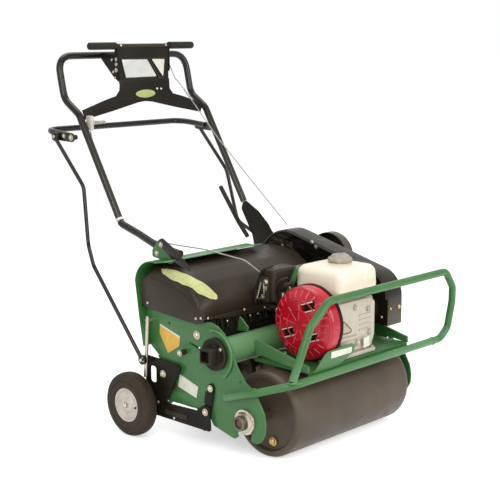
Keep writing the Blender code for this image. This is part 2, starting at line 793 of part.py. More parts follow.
def guard_outline(inset=0.0):
    """The guard in Y and Z: round behind, its front end flat with a square lower corner."""
    front_y = GUARD_NOSE_Y + GUARD_FRONT_R
    rear_y, rear_z = JACK_Y - GUARD_TAIL_BACK, JACK_Z + GUARD_TAIL_UP
    climb = math.atan2(rear_z - GUARD_NOSE_Z, rear_y - front_y)
    reach = math.hypot(rear_z - GUARD_NOSE_Z, rear_y - front_y)
    top = 90 + math.degrees(climb + math.asin((GUARD_REAR_R - GUARD_FRONT_R) / reach))
    return [(GUARD_NOSE_Y + inset, GUARD_CHIN_Z + inset),
            *arc(rear_y, rear_z, GUARD_REAR_R - inset, -90, top, 12),
            *arc(front_y, GUARD_NOSE_Z, GUARD_FRONT_R - inset, top, 180, 6)]


def build_guards():
    tray = sheet_x("belt_guard", [guard_outline()], GUARD_TRAY_IN, GUARD_OUT_X, "black_paint")
    hollow = sheet_x("belt_guard_hollow", [guard_outline(GUARD_T)], GUARD_TRAY_IN - 0.01,
                     GUARD_OUT_X - GUARD_T, None)
    shaft = rod_x("belt_guard_shaft", JACK_R + BOLT_FIT, GUARD_OUT_X - 0.01, GUARD_OUT_X + 0.01,
                  JACK_Y, JACK_Z, None, steps=20)
    notch = rod_x("belt_guard_notch", TUBE_R + TUBE_CLEAR, GUARD_IN_X - 0.01, GUARD_OUT_X + 0.01,
                  TUBE_Y, TUBE_Z, None)
    cut(tray, hollow, shaft, notch)
    port = circle(CRANK_Y, CRANK_Z, GUARD_PORT_R, 24)
    window = capsule((JACK_Y - GUARD_WINDOW_BACK, JACK_Z + GUARD_WINDOW_UP),
                     (JACK_Y - GUARD_WINDOW_FRONT, JACK_Z - GUARD_WINDOW_DROP),
                     GUARD_WINDOW_R, GUARD_WINDOW_TIP_R, 6)
    back = sheet_x("belt_guard_back", [guard_outline(), port, window],
                   GUARD_IN_X, GUARD_IN_X + GUARD_T, "black_paint")
    foot = idler_foot()
    pin = rod_x("belt_guard_back_pin", IDLER_PIN_R, GUARD_IN_X + 0.001, BELT_X - 0.003, foot.x,
                foot.y, None, steps=14)
    notch = rod_x("belt_guard_back_notch", TUBE_R + TUBE_CLEAR, GUARD_IN_X - 0.01,
                  GUARD_OUT_X + 0.01, TUBE_Y, TUBE_Z, None)
    join(back, pin)
    cut(back, notch)
    face = PLATE_OUT + FIT
    cover = sheet_x("shaft_cover", [circle(SHAFT_COVER_Y, SHAFT_COVER_Z, SHAFT_COVER_R, 22)],
                    face, face + SHAFT_COVER_DEPTH, "black_paint", bevel=0.008)
    hollow = sheet_x("shaft_cover_hollow",
                     [circle(SHAFT_COVER_Y, SHAFT_COVER_Z, SHAFT_COVER_R - 0.010, 22)],
                     face - 0.01, face + SHAFT_COVER_DEPTH - 0.004, None)
    cut(cover, hollow)


def groove_profile(x, radius, bore):
    """A V-belt pulley from its +X face to its -X face, down to the shaft."""
    half = PULLEY_T / 2
    return [(x + half, bore), (x + half, radius), (x + half * 0.7, radius),
            (x + half * 0.35, radius - PULLEY_GROOVE), (x - half * 0.35, radius - PULLEY_GROOVE),
            (x - half * 0.7, radius), (x - half, radius), (x - half, bore)]


def build_pulleys():
    shaft_far = PLATE_OUT + SHAFT_COVER_DEPTH * 0.5
    shaft_near = BELT_X - PULLEY_T
    tooth = SPROCKET_T / 2
    profile = [(shaft_far, 0.0), (shaft_far, JACK_R),
               (CHAIN_X + tooth, JACK_R), (CHAIN_X + tooth, SPROCKET_R),
               (CHAIN_X - tooth, SPROCKET_R), (CHAIN_X - tooth, JACK_R),
               *groove_profile(BELT_X, JACK_PULLEY_R, JACK_R),
               (shaft_near, JACK_R), (shaft_near, 0.0)]
    lathe_x("jackshaft", profile, JACK_Y, JACK_Z, "steel", steps=18)
    profile = [(BELT_X + 0.016, 0.0), (BELT_X + 0.016, CRANK_R),
               *groove_profile(BELT_X, ENGINE_PULLEY_R, CRANK_R),
               (CASE_FAR + FIT * 2, CRANK_R), (CASE_FAR + FIT * 2, 0.0)]
    lathe_x("crank_pulley", profile, CRANK_Y, CRANK_Z, "steel")
    build_belt()


def build_belt():
    inner_crank = ENGINE_PULLEY_R - PULLEY_GROOVE + FIT * 2
    inner_jack = JACK_PULLEY_R - PULLEY_GROOVE + FIT * 2
    first, second = (CRANK_Y, CRANK_Z), (JACK_Y, JACK_Z)
    outer = capsule(first, second, inner_crank + BELT_T, inner_jack + BELT_T, 12)
    inner = capsule(first, second, inner_crank, inner_jack, 12)
    half = PULLEY_T * 0.35 / 2 - FIT * 2
    sheet_x("drive_belt", [outer, inner], BELT_X - half, BELT_X + half, "belt_rubber")
    first, second = (REEL_Y, REEL_Z), (JACK_Y, JACK_Z)
    inside = SPROCKET_R + FIT * 2
    outer = capsule(first, second, inside + CHAIN_T, None, 12)
    inner = capsule(first, second, inside, None, 12)
    half = CHAIN_W / 2
    sheet_x("drive_chain", [outer, inner], CHAIN_X - half, CHAIN_X + half, "steel")


def belt_side():
    """Start and end of the belt's upper inner run, and the way that points out of the loop."""
    crank = Vector((CRANK_Y, CRANK_Z))
    jack = Vector((JACK_Y, JACK_Z))
    ahead = (jack - crank).normalized()
    side = Vector((-ahead.y, ahead.x))
    start = crank + side * (ENGINE_PULLEY_R - PULLEY_GROOVE)
    end = jack + side * (JACK_PULLEY_R - PULLEY_GROOVE)
    return start, end, side


def idler_centre():
    start, end, side = belt_side()
    return start.lerp(end, IDLER_ALONG) - side * (IDLER_R + IDLER_CLEAR)


def idler_foot():
    crank = Vector((CRANK_Y, CRANK_Z))
    jack = Vector((JACK_Y, JACK_Z))
    side = belt_side()[2]
    return crank.lerp(jack, IDLER_FOOT_ALONG) - side * IDLER_FOOT_DROP


def build_idler():
    centre, foot = idler_centre(), idler_foot()
    arm_x = BELT_X - PULLEY_T * 0.5 - IDLER_ARM_T - 0.002
    empty = pivot("idler_arm_pivot", (arm_x, *foot))
    arm = sheet_x("idler_arm", [capsule(tuple(foot), tuple(centre), 0.011, 0.009, 6),
                                circle(*foot, IDLER_PIN_R + BOLT_FIT, 12)],
                  arm_x, arm_x + IDLER_ARM_T, "black_paint", parent=empty)
    pin = rod_x("idler_pin", 0.005, arm_x + 0.001, BELT_X + PULLEY_T / 2 + 0.002, centre.x,
                centre.y, None, steps=14)
    join(arm, pin)
    profile = groove_profile(BELT_X, IDLER_R, 0.005 + BOLT_FIT)
    lathe_x("idler_pulley", profile, centre.x, centre.y, "steel", parent=empty)


# Engine

def build_engine():
    base = DECK_Z + DECK_T + FIT
    case = box("crankcase", (CASE_NEAR, CASE_FRONT, base), (CASE_FAR, CASE_BACK, CASE_TOP),
               "engine_grey", 0.012)
    foot = box("crankcase_foot", (CASE_NEAR + 0.012, CASE_FRONT - 0.012, base),
               (CASE_FAR - 0.010, CASE_BACK + 0.014, base + CASE_FOOT_T), None, 0.004)
    nose = rod_x("crankcase_nose", 0.034, CASE_FAR - 0.02, CASE_FAR + 0.018, CRANK_Y, CRANK_Z, None)
    bore = rod_x("crankcase_bore", CRANK_R + BOLT_FIT, CASE_FAR - 0.001, CASE_FAR + 0.05,
                 CRANK_Y, CRANK_Z, None, steps=20)
    join(case, foot, nose)
    cut(case, bore)
    comb = []
    for i in range(HEAD_FINS):
        z = HEAD_LOW + i * HEAD_FIN_PITCH
        comb += [(CASE_BACK + 0.018, z), (HEAD_BACK, z), (HEAD_BACK, z + HEAD_FIN_PITCH * 0.45),
                 (CASE_BACK + 0.018, z + HEAD_FIN_PITCH * 0.45)]
    comb += [(CASE_BACK + FIT, HEAD_LOW + HEAD_FINS * HEAD_FIN_PITCH),
             (CASE_BACK + FIT, HEAD_LOW - 0.006), (CASE_BACK + 0.018, HEAD_LOW - 0.006)]
    sheet_x("cylinder_head", [comb], -0.052, 0.062, "engine_grey")
    profile = [(RECOIL_BACK, 0.0), (RECOIL_BACK, RECOIL_R), (RECOIL_RIM, RECOIL_R),
               (RECOIL_RIM - 0.010, RECOIL_R - 0.007), (RECOIL_FACE + 0.004, 0.070),
               (RECOIL_FACE, 0.062), (RECOIL_FACE, 0.0)]
    lathe_x("recoil_cover", profile, CRANK_Y, CRANK_Z, "engine_red", steps=36)
    box("fuel_tank", (TANK_NEAR, TANK_FRONT, TANK_LOW), (TANK_FAR, TANK_BACK, TANK_TOP),
        "tank_cream", 0.022, 4)
    cap_low = TANK_TOP + FIT
    empty = pivot("fuel_cap_pivot", (CAP_X, CAP_Y, cap_low))
    cap = rod_between("fuel_cap", (CAP_X, CAP_Y, cap_low), (CAP_X, CAP_Y, cap_low + CAP_H), CAP_R,
                      "cap_grey", parent=empty)
    rounder = cap.modifiers.new("round", "BEVEL")
    rounder.width = 0.003
    rounder.segments = 2
    box("air_cleaner", (CLEANER_NEAR, BACK_UNIT_Y0, CLEANER_LOW),
        (CLEANER_NEAR + CLEANER_W, BACK_UNIT_Y1, CLEANER_TOP), "black_plastic", 0.010, 3)
    box("muffler", (MUFFLER_NEAR, BACK_UNIT_Y0, CLEANER_LOW),
        (MUFFLER_NEAR + MUFFLER_W, BACK_UNIT_Y1, CLEANER_TOP - 0.012), "steel", 0.016, 3)
    lever_x = CLEANER_NEAR + 0.020
    lever_y, lever_z = BACK_UNIT_Y0 + 0.020, CLEANER_LOW - 0.016
    empty = pivot("choke_lever_pivot", (lever_x, lever_y, lever_z))
    sheet_x("choke_lever", [capsule((lever_y, lever_z), (lever_y + CHOKE_LEN, lever_z + 0.004),
                                    0.006, 0.004, 5)],
            lever_x - 0.0015, lever_x + 0.0015, "black_plastic", parent=empty)
    grip_x = RECOIL_RIM + 0.016
    grip_y, grip_z = CRANK_Y + RECOIL_R * 0.70, CRANK_Z + RECOIL_R * 0.93
    empty = pivot("recoil_grip_pivot", (grip_x, grip_y, grip_z))
    grip = rod_x("recoil_grip", GRIP_R, grip_x - GRIP_W / 2, grip_x + GRIP_W / 2, grip_y, grip_z,
                 "grip_rubber", steps=10, parent=empty)
    rounder = grip.modifiers.new("round", "BEVEL")
    rounder.width = 0.003
    rounder.segments = 1


# Handle

LEG_BEND = (0.751, 0.9005)
LEG_LOW = (0.572, 0.598)


def build_handle():
    half = HANDLE_HALF
    side = [(half, *LEG_LOW), (half, *LEG_BEND), (half, 0.820, 0.944),
            (half, HANDLE_TOP_Y, HANDLE_TOP_Z)]
    path = side + [mirror_x(point) for point in reversed(side)]
    tube("handle_tube", rounded(path, HANDLE_CORNER_R, 4, closed=False), HANDLE_R, "black_paint")
    gap = HANDLE_SLEEVE_GAP
    near = [(-half, LEG_LOW[0] - 0.0025, LEG_LOW[1] - 0.0052 - gap), (-half - 0.001, 0.558, 0.586),
            (-half - 0.006, 0.483, 0.568), (-half - 0.018, 0.400, 0.548),
            (-half - 0.018, 0.330, 0.5375), (-half - 0.018, 0.286, 0.5330)]
    tube("handle_lower_right", rounded(near, 0.04, 3, closed=False), HANDLE_R, "black_paint")
    far = [(half, LEG_LOW[0] - 0.0025, LEG_LOW[1] - 0.0052 - gap), (half, 0.545, 0.578),
           (half, 0.491, 0.535), (half, 0.446, 0.496)]
    tube("handle_lower_left", rounded(far, 0.04, 3, closed=False), HANDLE_R, "black_paint")
    plate = [(0.548, 0.604), (0.532, 0.606), (0.480, 0.578), (0.438, 0.542), (0.412, 0.507),
             (0.394, 0.484), (0.403, 0.440), (0.399, 0.395), (0.425, 0.395), (0.455, 0.425),
             (0.494, 0.446), (0.507, 0.500), (0.556, 0.580)]
    sheet_x("handle_gusset_left", [plate], PANEL_FAR + FIT, PANEL_FAR + FIT + 0.004, "black_paint")


def build_panels():
    """The black sheet between the legs and the control plate above it."""
    inner = HANDLE_HALF - HANDLE_R - FIT
    right = [(inner, 0.913), (0.165, 0.940), (0.120, 0.951), (0.106, 0.968), (0.104, 1.000)]
    low = [(0.245, 0.884), (0.129, 0.906), (0.030, 0.927), (0.0, 0.930)]
    loop = right + [(-x, z) for x, z in reversed(right)]
    loop += [(-x, z) for x, z in low] + [(x, z) for x, z in reversed(low[:-1])]
    sheet_y("wing_panel", [loop], HEAD_Y, HEAD_Y + SHEET_T, "black_paint")
    back = HEAD_Y + SHEET_T + FIT
    plate = [(EAR_X, CONTROL_LOW), (EAR_X, CONTROL_TOP), (-EAR_X, CONTROL_TOP),
             (-EAR_X, CONTROL_LOW)]
    panel = sheet_y("control_panel", [plate], back, back + SHEET_T, "black_paint")
    hook_y = HANDLE_TOP_Y - HANDLE_R - FIT
    for index, side in enumerate((-1, 1)):
        ear = [(back, CONTROL_LOW + 0.005), (back, CONTROL_TOP - 0.008),
               (back + 0.020, CONTROL_TOP + 0.006), (hook_y, HANDLE_TOP_Z + 0.010),
               (hook_y, HANDLE_TOP_Z - 0.012), (back + 0.030, CONTROL_LOW + 0.025)]
        hole = circle(DRIVE_Y, DRIVE_PIVOT_Z, DRIVE_PIN_R + BOLT_FIT, 12)
        low_x = side * EAR_X - (SHEET_T if side > 0 else 0)
        bracket = sheet_x("control_panel_ear_%d" % index, [ear, hole], low_x, low_x + SHEET_T, None)
        join(panel, bracket)


def build_drive_bar():
    """The twin-grip bar that the hands squeeze towards the handle."""
    empty = pivot("drive_bar_pivot", (0, DRIVE_Y, DRIVE_PIVOT_Z))
    bar = rod_x("drive_bar", GRIP_TUBE_R, -GRIP_HALF + 0.004, GRIP_HALF - 0.004, DRIVE_Y,
                GRIP_TOP_Z, "black_paint", steps=12, parent=empty)
    lever_in = EAR_X + FIT * 3
    lever_out = lever_in + DRIVE_LEVER_T
    for side in (-1, 1):
        low_x, high_x = sorted((side * (GRIP_HALF - GRIP_LEN), side * GRIP_HALF))
        grip = rod_x("drive_bar_grip_%d" % side, GRIP_RUBBER_R, low_x, high_x, DRIVE_Y, GRIP_TOP_Z,
                     None, steps=12)
        low_x, high_x = sorted((side * lever_in, side * lever_out))
        ends = capsule((DRIVE_Y, DRIVE_PIVOT_Z), (DRIVE_Y, GRIP_TOP_Z), 0.009, 0.008, 5)
        lever = sheet_x("drive_bar_lever_%d" % side, [ends], low_x, high_x, None)
        low_x, high_x = sorted((side * (EAR_X - SHEET_T * 2), side * (lever_out - 0.001)))
        pin = rod_x("drive_bar_pin_%d" % side, DRIVE_PIN_R, low_x, high_x, DRIVE_Y, DRIVE_PIVOT_Z,
                    None, steps=10)
        join(bar, grip, lever, pin)
    strap = box("drive_bar_strap", (-lever_in - 0.001, DRIVE_Y - 0.002, GRIP_TOP_Z - DRIVE_STRAP_H),
                (lever_in + 0.001, DRIVE_Y + 0.001, GRIP_TOP_Z - 0.002), None)
    join(bar, strap)


def build_throttle():
    x = -HANDLE_HALF + HANDLE_R + FIT
    box("throttle_housing", (x, THROTTLE_Y - 0.012, THROTTLE_Z - 0.022),
        (x + 0.012, THROTTLE_Y + 0.012, THROTTLE_Z + 0.022), "zinc", 0.002)
    start = x + 0.012 + FIT
    empty = pivot("throttle_lever_pivot", (start + 0.008, THROTTLE_Y, THROTTLE_Z))
    root, tip = (start + 0.008, THROTTLE_Z), (start + THROTTLE_LEVER_LEN, THROTTLE_Z)
    sheet_y("throttle_lever", [capsule(root, tip, 0.007, 0.005, 5)],
            THROTTLE_Y - 0.002, THROTTLE_Y + 0.002, "cap_grey", parent=empty)


def build_cables():
    far = [(0.120, DRIVE_Y + 0.006, GRIP_TOP_Z - 0.060), (0.136, HEAD_Y + 0.008, 1.000),
           (0.170, 0.752, 0.968), (0.214, 0.608, 0.795), (0.2425, 0.513, 0.680),
           (GUARD_IN_X + GUARD_DEPTH * 0.5, 0.316, 0.553)]
    tube("drive_cable", rounded(far, 0.03, 3, closed=False), CABLE_R, "cable_sheath",
         bevel_resolution=1)
    x = -HANDLE_HALF + HANDLE_R + 0.006
    near = [(x, THROTTLE_Y - 0.002, THROTTLE_Z - 0.0235), (x, 0.712, 0.820), (x, 0.640, 0.690),
            (x, 0.566, 0.580), (x + 0.020, 0.470, 0.545), (-0.200, 0.400, 0.535),
            (-0.180, 0.300, 0.532), (-0.120, 0.200, 0.505), (-0.075, 0.146, 0.450),
            (-0.072, 0.1445, 0.384)]
    tube("throttle_cable", rounded(near, 0.05, 2, closed=False), THROTTLE_CABLE_R, "cable_sheath",
         bevel_resolution=1)


# Lift linkage and wheels

def build_bail():
    empty = pivot("lift_bail_pivot", (0, BAIL_PIVOT_Y, BAIL_PIVOT_Z))
    back = BAIL_PIVOT_Y + BAIL_REACH
    root_y, root_z = BAIL_PIVOT_Y + 0.020, BAIL_PIVOT_Z + 0.004
    grip_z = BAIL_PIVOT_Z + 0.014
    path = [(-BAIL_HALF, root_y, root_z), (-BAIL_HALF, back, grip_z),
            (BAIL_HALF, back, grip_z), (BAIL_HALF, root_y, root_z)]
    bail = tube("lift_bail", rounded(path, 0.05, 4, closed=False), BAIL_R, "black_paint",
                parent=empty)
    rod_y = BAIL_PIVOT_Y + BAIL_ROD_REACH
    for side in (-1, 1):
        x = side * (BAIL_HALF + BAIL_R * 0.55)
        low_x, high_x = sorted((x, x + side * BAIL_PLATE_T))
        plate = sheet_x("lift_bail_plate_%d" % side,
                        [capsule((BAIL_PIVOT_Y, BAIL_PIVOT_Z), (rod_y, BAIL_PIVOT_Z), 0.014, 0.012, 4)],
                        low_x, high_x, None)
        inner = HANDLE_HALF + HANDLE_R + FIT
        low_x, high_x = sorted((side * inner, x + side * BAIL_PLATE_T / 2))
        boss = rod_x("lift_bail_boss_%d" % side, 0.008, low_x, high_x, BAIL_PIVOT_Y, BAIL_PIVOT_Z,
                     None, steps=12)
        pin_in, pin_out = x + side * BAIL_PLATE_T * 0.5, x + side * (BAIL_PLATE_T + 0.016)
        low_x, high_x = sorted((pin_in, pin_out))
        pin = rod_x("lift_bail_pin_%d" % side, ROD_PIN_R, low_x, high_x, rod_y, BAIL_PIVOT_Z, None,
                    steps=10)
        join(bail, plate, boss, pin)


def build_rods():
    rod_y = BAIL_PIVOT_Y + BAIL_ROD_REACH
    top_x = BAIL_HALF + BAIL_R * 0.55 + BAIL_PLATE_T + 0.0085
    for name, side in (("lift_rod_right", -1), ("lift_rod_left", 1)):
        empty = pivot(name + "_pivot", (side * top_x, rod_y, BAIL_PIVOT_Z))
        path = [(side * top_x, rod_y - 0.004, BAIL_PIVOT_Z - 0.010),
                (side * top_x, 0.690, 0.690), (side * (top_x + 0.016), 0.655, 0.520),
                (side * ROD_LOW_X, 0.590, 0.470), (side * ROD_LOW_X, ROD_LOW_Y + 0.010, ROD_LOW_Z + 0.009)]
        rod = tube(name, rounded(path, 0.05, 3, closed=False), ROD_R, "black_paint", parent=empty)
        top_eye = (top_x, rod_y, BAIL_PIVOT_Z, ROD_PIN_R + BOLT_FIT)
        low_eye = (ROD_LOW_X, ROD_LOW_Y, ROD_LOW_Z, ROD_PIN_R + PIVOT_PLAY)
        for index, (x, y, z, bore) in enumerate((top_eye, low_eye)):
            centre = side * x
            eye = sheet_x("%s_eye_%d" % (name, index),
                          [circle(y, z, ROD_EYE_R, 12)], centre - 0.005, centre + 0.005, None)
            hole = rod_x("%s_hole_%d" % (name, index), bore, centre - 0.02, centre + 0.02, y, z,
                         None, steps=12)
            join(rod, eye)
            cut(rod, hole)


def wheel_arm_outline():
    beam = [(0.122, 0.064), (0.430, 0.064), (0.432, 0.110), (0.400, 0.126), (0.384, 0.140)]
    upright = [(0.388, 0.236), (0.250, 0.231), (0.240, 0.221), (0.302, 0.116), (0.156, 0.128),
               (0.150, 0.136), (0.126, 0.134)]
    return beam + upright


def build_wheels():
    for label, side in (("right", -1), ("left", 1)):
        face = PLATE_OUT + FIT
        low_x, high_x = sorted((side * face, side * (WHEEL_ARM_X - FIT)))
        link = sheet_x("pivot_link_" + label, [capsule((LINK_TOP_Y, LINK_TOP_Z),
                                                       (WHEEL_PIVOT_Y, WHEEL_PIVOT_Z), LINK_R, None, 6)],
                       low_x, high_x, "black_paint")
        low_x, high_x = sorted((side * (face + 0.002), side * (WHEEL_ARM_X + WHEEL_ARM_T + 0.001)))
        pin = rod_x("pivot_link_pin_" + label, LINK_PIN_R, low_x, high_x, WHEEL_PIVOT_Y,
                    WHEEL_PIVOT_Z, None, steps=16)
        head_in = WHEEL_ARM_X + WHEEL_ARM_T + FIT
        low_x, high_x = sorted((side * head_in, side * (head_in + 0.005)))
        head = rod_x("pivot_link_head_" + label, 0.010, low_x, high_x, WHEEL_PIVOT_Y,
                     WHEEL_PIVOT_Z, None, steps=6)
        join(link, pin, head)
        empty = pivot("wheel_arm_%s_pivot" % label, (side * WHEEL_ARM_X, WHEEL_PIVOT_Y, WHEEL_PIVOT_Z))
        arm_out = WHEEL_ARM_X + WHEEL_ARM_T
        low_x, high_x = sorted((side * WHEEL_ARM_X, side * arm_out))
        window = rounded([(0.340, 0.160), (0.366, 0.160), (0.366, 0.208), (0.340, 0.208)], 0.008, 3)
        arm = sheet_x("wheel_arm_" + label,
                      [wheel_arm_outline(), circle(WHEEL_PIVOT_Y, WHEEL_PIVOT_Z, LINK_PIN_R + BOLT_FIT, 16),
                       window], low_x, high_x, "black_paint", parent=empty)
        low_x, high_x = sorted((side * (WHEEL_ARM_X + 0.001), side * (WHEEL_IN_X + WHEEL_W + 0.004)))
        axle = rod_x("wheel_arm_axle_" + label, WHEEL_AXLE_R, low_x, high_x, WHEEL_Y, WHEEL_R, None,
                     steps=16)
        low_x, high_x = sorted((side * (WHEEL_ARM_X + 0.001), side * (ROD_LOW_X + 0.008)))
        pin = rod_x("wheel_arm_pin_" + label, ROD_PIN_R, low_x, high_x, ROD_LOW_Y, ROD_LOW_Z, None,
                    steps=14)
        join(arm, axle, pin)
        build_wheel(label, side, empty)


def build_wheel(label, side, parent):
    inner, outer = WHEEL_IN_X, WHEEL_IN_X + WHEEL_W
    bead = RIM_LIP_R + 0.003
    tread = [(outer - 0.002, bead), (outer, WHEEL_R - 0.016), (outer - 0.005, WHEEL_R - 0.005),
             (outer - 0.013, WHEEL_R), (inner + 0.013, WHEEL_R), (inner + 0.005, WHEEL_R - 0.005),
             (inner, WHEEL_R - 0.016), (inner + 0.002, bead)]
    rim = [(outer - 0.002, WHEEL_AXLE_R + BOLT_FIT), (outer - 0.002, 0.018), (outer - 0.012, 0.030),
           (outer - 0.003, RIM_LIP_R - 0.004), (outer - 0.003, bead - FIT),
           (inner + 0.003, bead - FIT), (inner + 0.003, RIM_LIP_R - 0.004),
           (inner + 0.002, 0.018), (inner + 0.002, WHEEL_AXLE_R + BOLT_FIT)]
    if side < 0:
        tread = [(-x, radius) for x, radius in reversed(tread)]
        rim = [(-x, radius) for x, radius in reversed(rim)]
    lathe_x("tyre_" + label, tread, WHEEL_Y, WHEEL_R, "tyre_rubber", steps=24, parent=parent)
    lathe_x("rim_" + label, rim, WHEEL_Y, WHEEL_R, "rim_grey", steps=24, parent=parent)


# Placing

def centre_on_origin():
    """Moves the machine so that its box stands on Z = 0, centred on X and Y."""
    bpy.context.view_layer.update()
    graph = bpy.context.evaluated_depsgraph_get()
    low = Vector((math.inf,) * 3)
    high = Vector((-math.inf,) * 3)
    for item in PARTS.objects:
        if item.type != "MESH":
            continue
        data = item.evaluated_get(graph).to_mesh()
        for corner in data.vertices:
            place = item.matrix_world @ corner.co
            low = Vector(map(min, low, place))
            high = Vector(map(max, high, place))
        item.evaluated_get(graph).to_mesh_clear()
    shift = Vector((-(low.x + high.x) / 2, -(low.y + high.y) / 2, GROUND_Z - low.z))
    for item in list(PARTS.objects) + list(CUTTERS.objects):
        if item.parent is None:
            item.matrix_world = Matrix.Translation(shift) @ item.matrix_world
    print("moved by %.5f %.5f %.5f" % tuple(shift))


def build():
    build_side_plates()
    build_cross_tube()
    build_deck()
    build_rail()
    build_rear_panel()
    build_tine_cover()
    build_drum()
    build_reel()
    build_guards()
    build_pulleys()
    build_idler()
    build_engine()
    build_handle()
    build_panels()
    build_drive_bar()
    build_throttle()
    build_cables()
    build_bail()
    build_rods()
    build_wheels()
    centre_on_origin()


build()
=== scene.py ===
"""Looks of the walk-behind drum lawn aerator.

The pieces are laid out in the same numbers as the CAD source: the drum axle is above
X = 0, Y = 0, the machine travels to -Y and the operator's right is the -X side. ORIGIN
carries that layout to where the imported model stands.
"""
import json
import math

import bmesh
import bpy
from mathutils import Matrix, Vector


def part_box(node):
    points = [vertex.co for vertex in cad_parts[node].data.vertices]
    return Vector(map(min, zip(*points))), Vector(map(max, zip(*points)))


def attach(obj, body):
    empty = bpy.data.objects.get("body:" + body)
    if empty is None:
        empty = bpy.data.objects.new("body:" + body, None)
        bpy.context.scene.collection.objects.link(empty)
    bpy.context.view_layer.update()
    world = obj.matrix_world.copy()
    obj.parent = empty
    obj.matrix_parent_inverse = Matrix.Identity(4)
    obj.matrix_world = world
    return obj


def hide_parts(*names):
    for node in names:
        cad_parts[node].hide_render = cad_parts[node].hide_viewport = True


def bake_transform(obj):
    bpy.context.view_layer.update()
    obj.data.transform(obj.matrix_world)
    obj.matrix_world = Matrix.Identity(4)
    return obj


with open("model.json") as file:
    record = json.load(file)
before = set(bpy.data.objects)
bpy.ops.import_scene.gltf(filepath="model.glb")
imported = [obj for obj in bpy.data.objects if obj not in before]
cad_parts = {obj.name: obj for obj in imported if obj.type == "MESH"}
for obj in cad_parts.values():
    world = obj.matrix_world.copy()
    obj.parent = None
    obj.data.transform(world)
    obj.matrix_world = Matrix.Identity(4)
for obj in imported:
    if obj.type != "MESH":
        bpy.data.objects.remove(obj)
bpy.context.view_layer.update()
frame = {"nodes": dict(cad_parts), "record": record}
drum_low, drum_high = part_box("drum")
ORIGIN = Vector(((drum_low.x + drum_high.x) / 2, (drum_low.y + drum_high.y) / 2, 0.0))

# Sizes that several pieces share, in metres
PLATE_IN = 0.322              # inner face of each side plate
PLATE_OUT = 0.328
SKIN = 0.0004                 # gap that keeps touching faces apart
TUBE_Y = 0.110
TUBE_Z = 0.287
TUBE_R = 0.038
DRUM_R = 0.120
DRUM_HALF = 0.248
DRUM_RECESS = 0.010            # how deep the drum's ends are set in
SLOT_HALF = 0.0245             # half of the side plate's slot round the drum's axle
REEL_Y = 0.278
REEL_Z = 0.160
JACK_Y = 0.300
JACK_Z = 0.430
CRANK_Y = -0.031
CRANK_Z = 0.359
RAIL_R = 0.011
RAIL_Y = -0.1315
RAIL_Z = 0.238
RAIL_TOP_Y = -0.148
RAIL_TOP_Z = 0.447
RAIL_FAR = 0.428
HANDLE_R = 0.011
HANDLE_HALF = 0.267
HEAD_Y = 0.750
DRIVE_Y = 0.760
DRIVE_PIVOT_Z = 1.030
GRIP_TOP_Z = 1.104
BAIL_HALF = 0.288
BAIL_R = 0.0095
BAIL_PIVOT_Y = 0.754
BAIL_PIVOT_Z = 0.833
ROD_TOP_Y = 0.820
ROD_TOP_X = 0.3057
ROD_LOW_X = 0.356
ROD_LOW_Y = 0.380
ROD_LOW_Z = 0.224
WHEEL_PIVOT_Y = 0.140
WHEEL_PIVOT_Z = 0.118
LINK_TOP_Y = 0.127
LINK_TOP_Z = 0.187
ARM_X = 0.3346
ARM_T = 0.006
WHEEL_Y = 0.406
WHEEL_R = 0.093
WHEEL_IN_X = 0.353
WHEEL_W = 0.048
DECK_TOP = 0.2535
CURL_FAR = 0.050               # where the rear panel's upper curl stops
COVER_NEAR = -0.337            # the tine cover, from its near to its far end
COVER_FAR = 0.156
COVER_LOW = 0.376
COVER_ROLL_LONG = 0.055        # the near end's roll along X
COVER_ROLL_IN = 0.040
COVER_FAR_R = 0.014
COVER_REAR = 0.401
COVER_FRONT = 0.150
COVER_MIDDLE_Y = 0.275         # the near end's roll draws in towards it
GUARD_IN = 0.160               # the belt guard, from its near to its far wall
GUARD_OUT = 0.230
PANEL_T = 0.0025               # the sheets between the handle's legs
PANEL_FACE = HEAD_Y + PANEL_T + SKIN     # front face of the control panel's sheet
PANEL_HALF = 0.104
CASE_NEAR = -0.0855            # the crankcase
CASE_FAR = 0.105
CASE_FRONT = -0.098
RECOIL_R = 0.104               # the starter's cover
SIDES = ((-1, "right"), (1, "left"))     # the near and the far side


# Materials

def linked(tree, kind, **values):
    node = tree.nodes.new(kind)
    for name, value in values.items():
        setattr(node, name, value)
    return node


def noise(tree, where, scale, detail=3.0, rough=0.55):
    node = linked(tree, "ShaderNodeTexNoise")
    node.inputs["Scale"].default_value = scale
    node.inputs["Detail"].default_value = detail
    node.inputs["Roughness"].default_value = rough
    tree.links.new(where, node.inputs["Vector"])
    return node.outputs["Fac"]


def spread(tree, value, low, high, from_low=0.3, from_high=0.7):
    node = linked(tree, "ShaderNodeMapRange", clamp=True)
    tree.links.new(value, node.inputs["Value"])
    node.inputs["From Min"].default_value = from_low
    node.inputs["From Max"].default_value = from_high
    node.inputs["To Min"].default_value = low
    node.inputs["To Max"].default_value = high
    return node.outputs["Result"]


def blend(tree, fac, first, second):
    node = linked(tree, "ShaderNodeMix", data_type="RGBA")
    tree.links.new(fac, node.inputs["Factor"])
    for socket, colour in ((node.inputs["A"], first), (node.inputs["B"], second)):
        if isinstance(colour, tuple):
            socket.default_value = (*colour, 1.0)
        else:
            tree.links.new(colour, socket)
    return node.outputs["Result"]


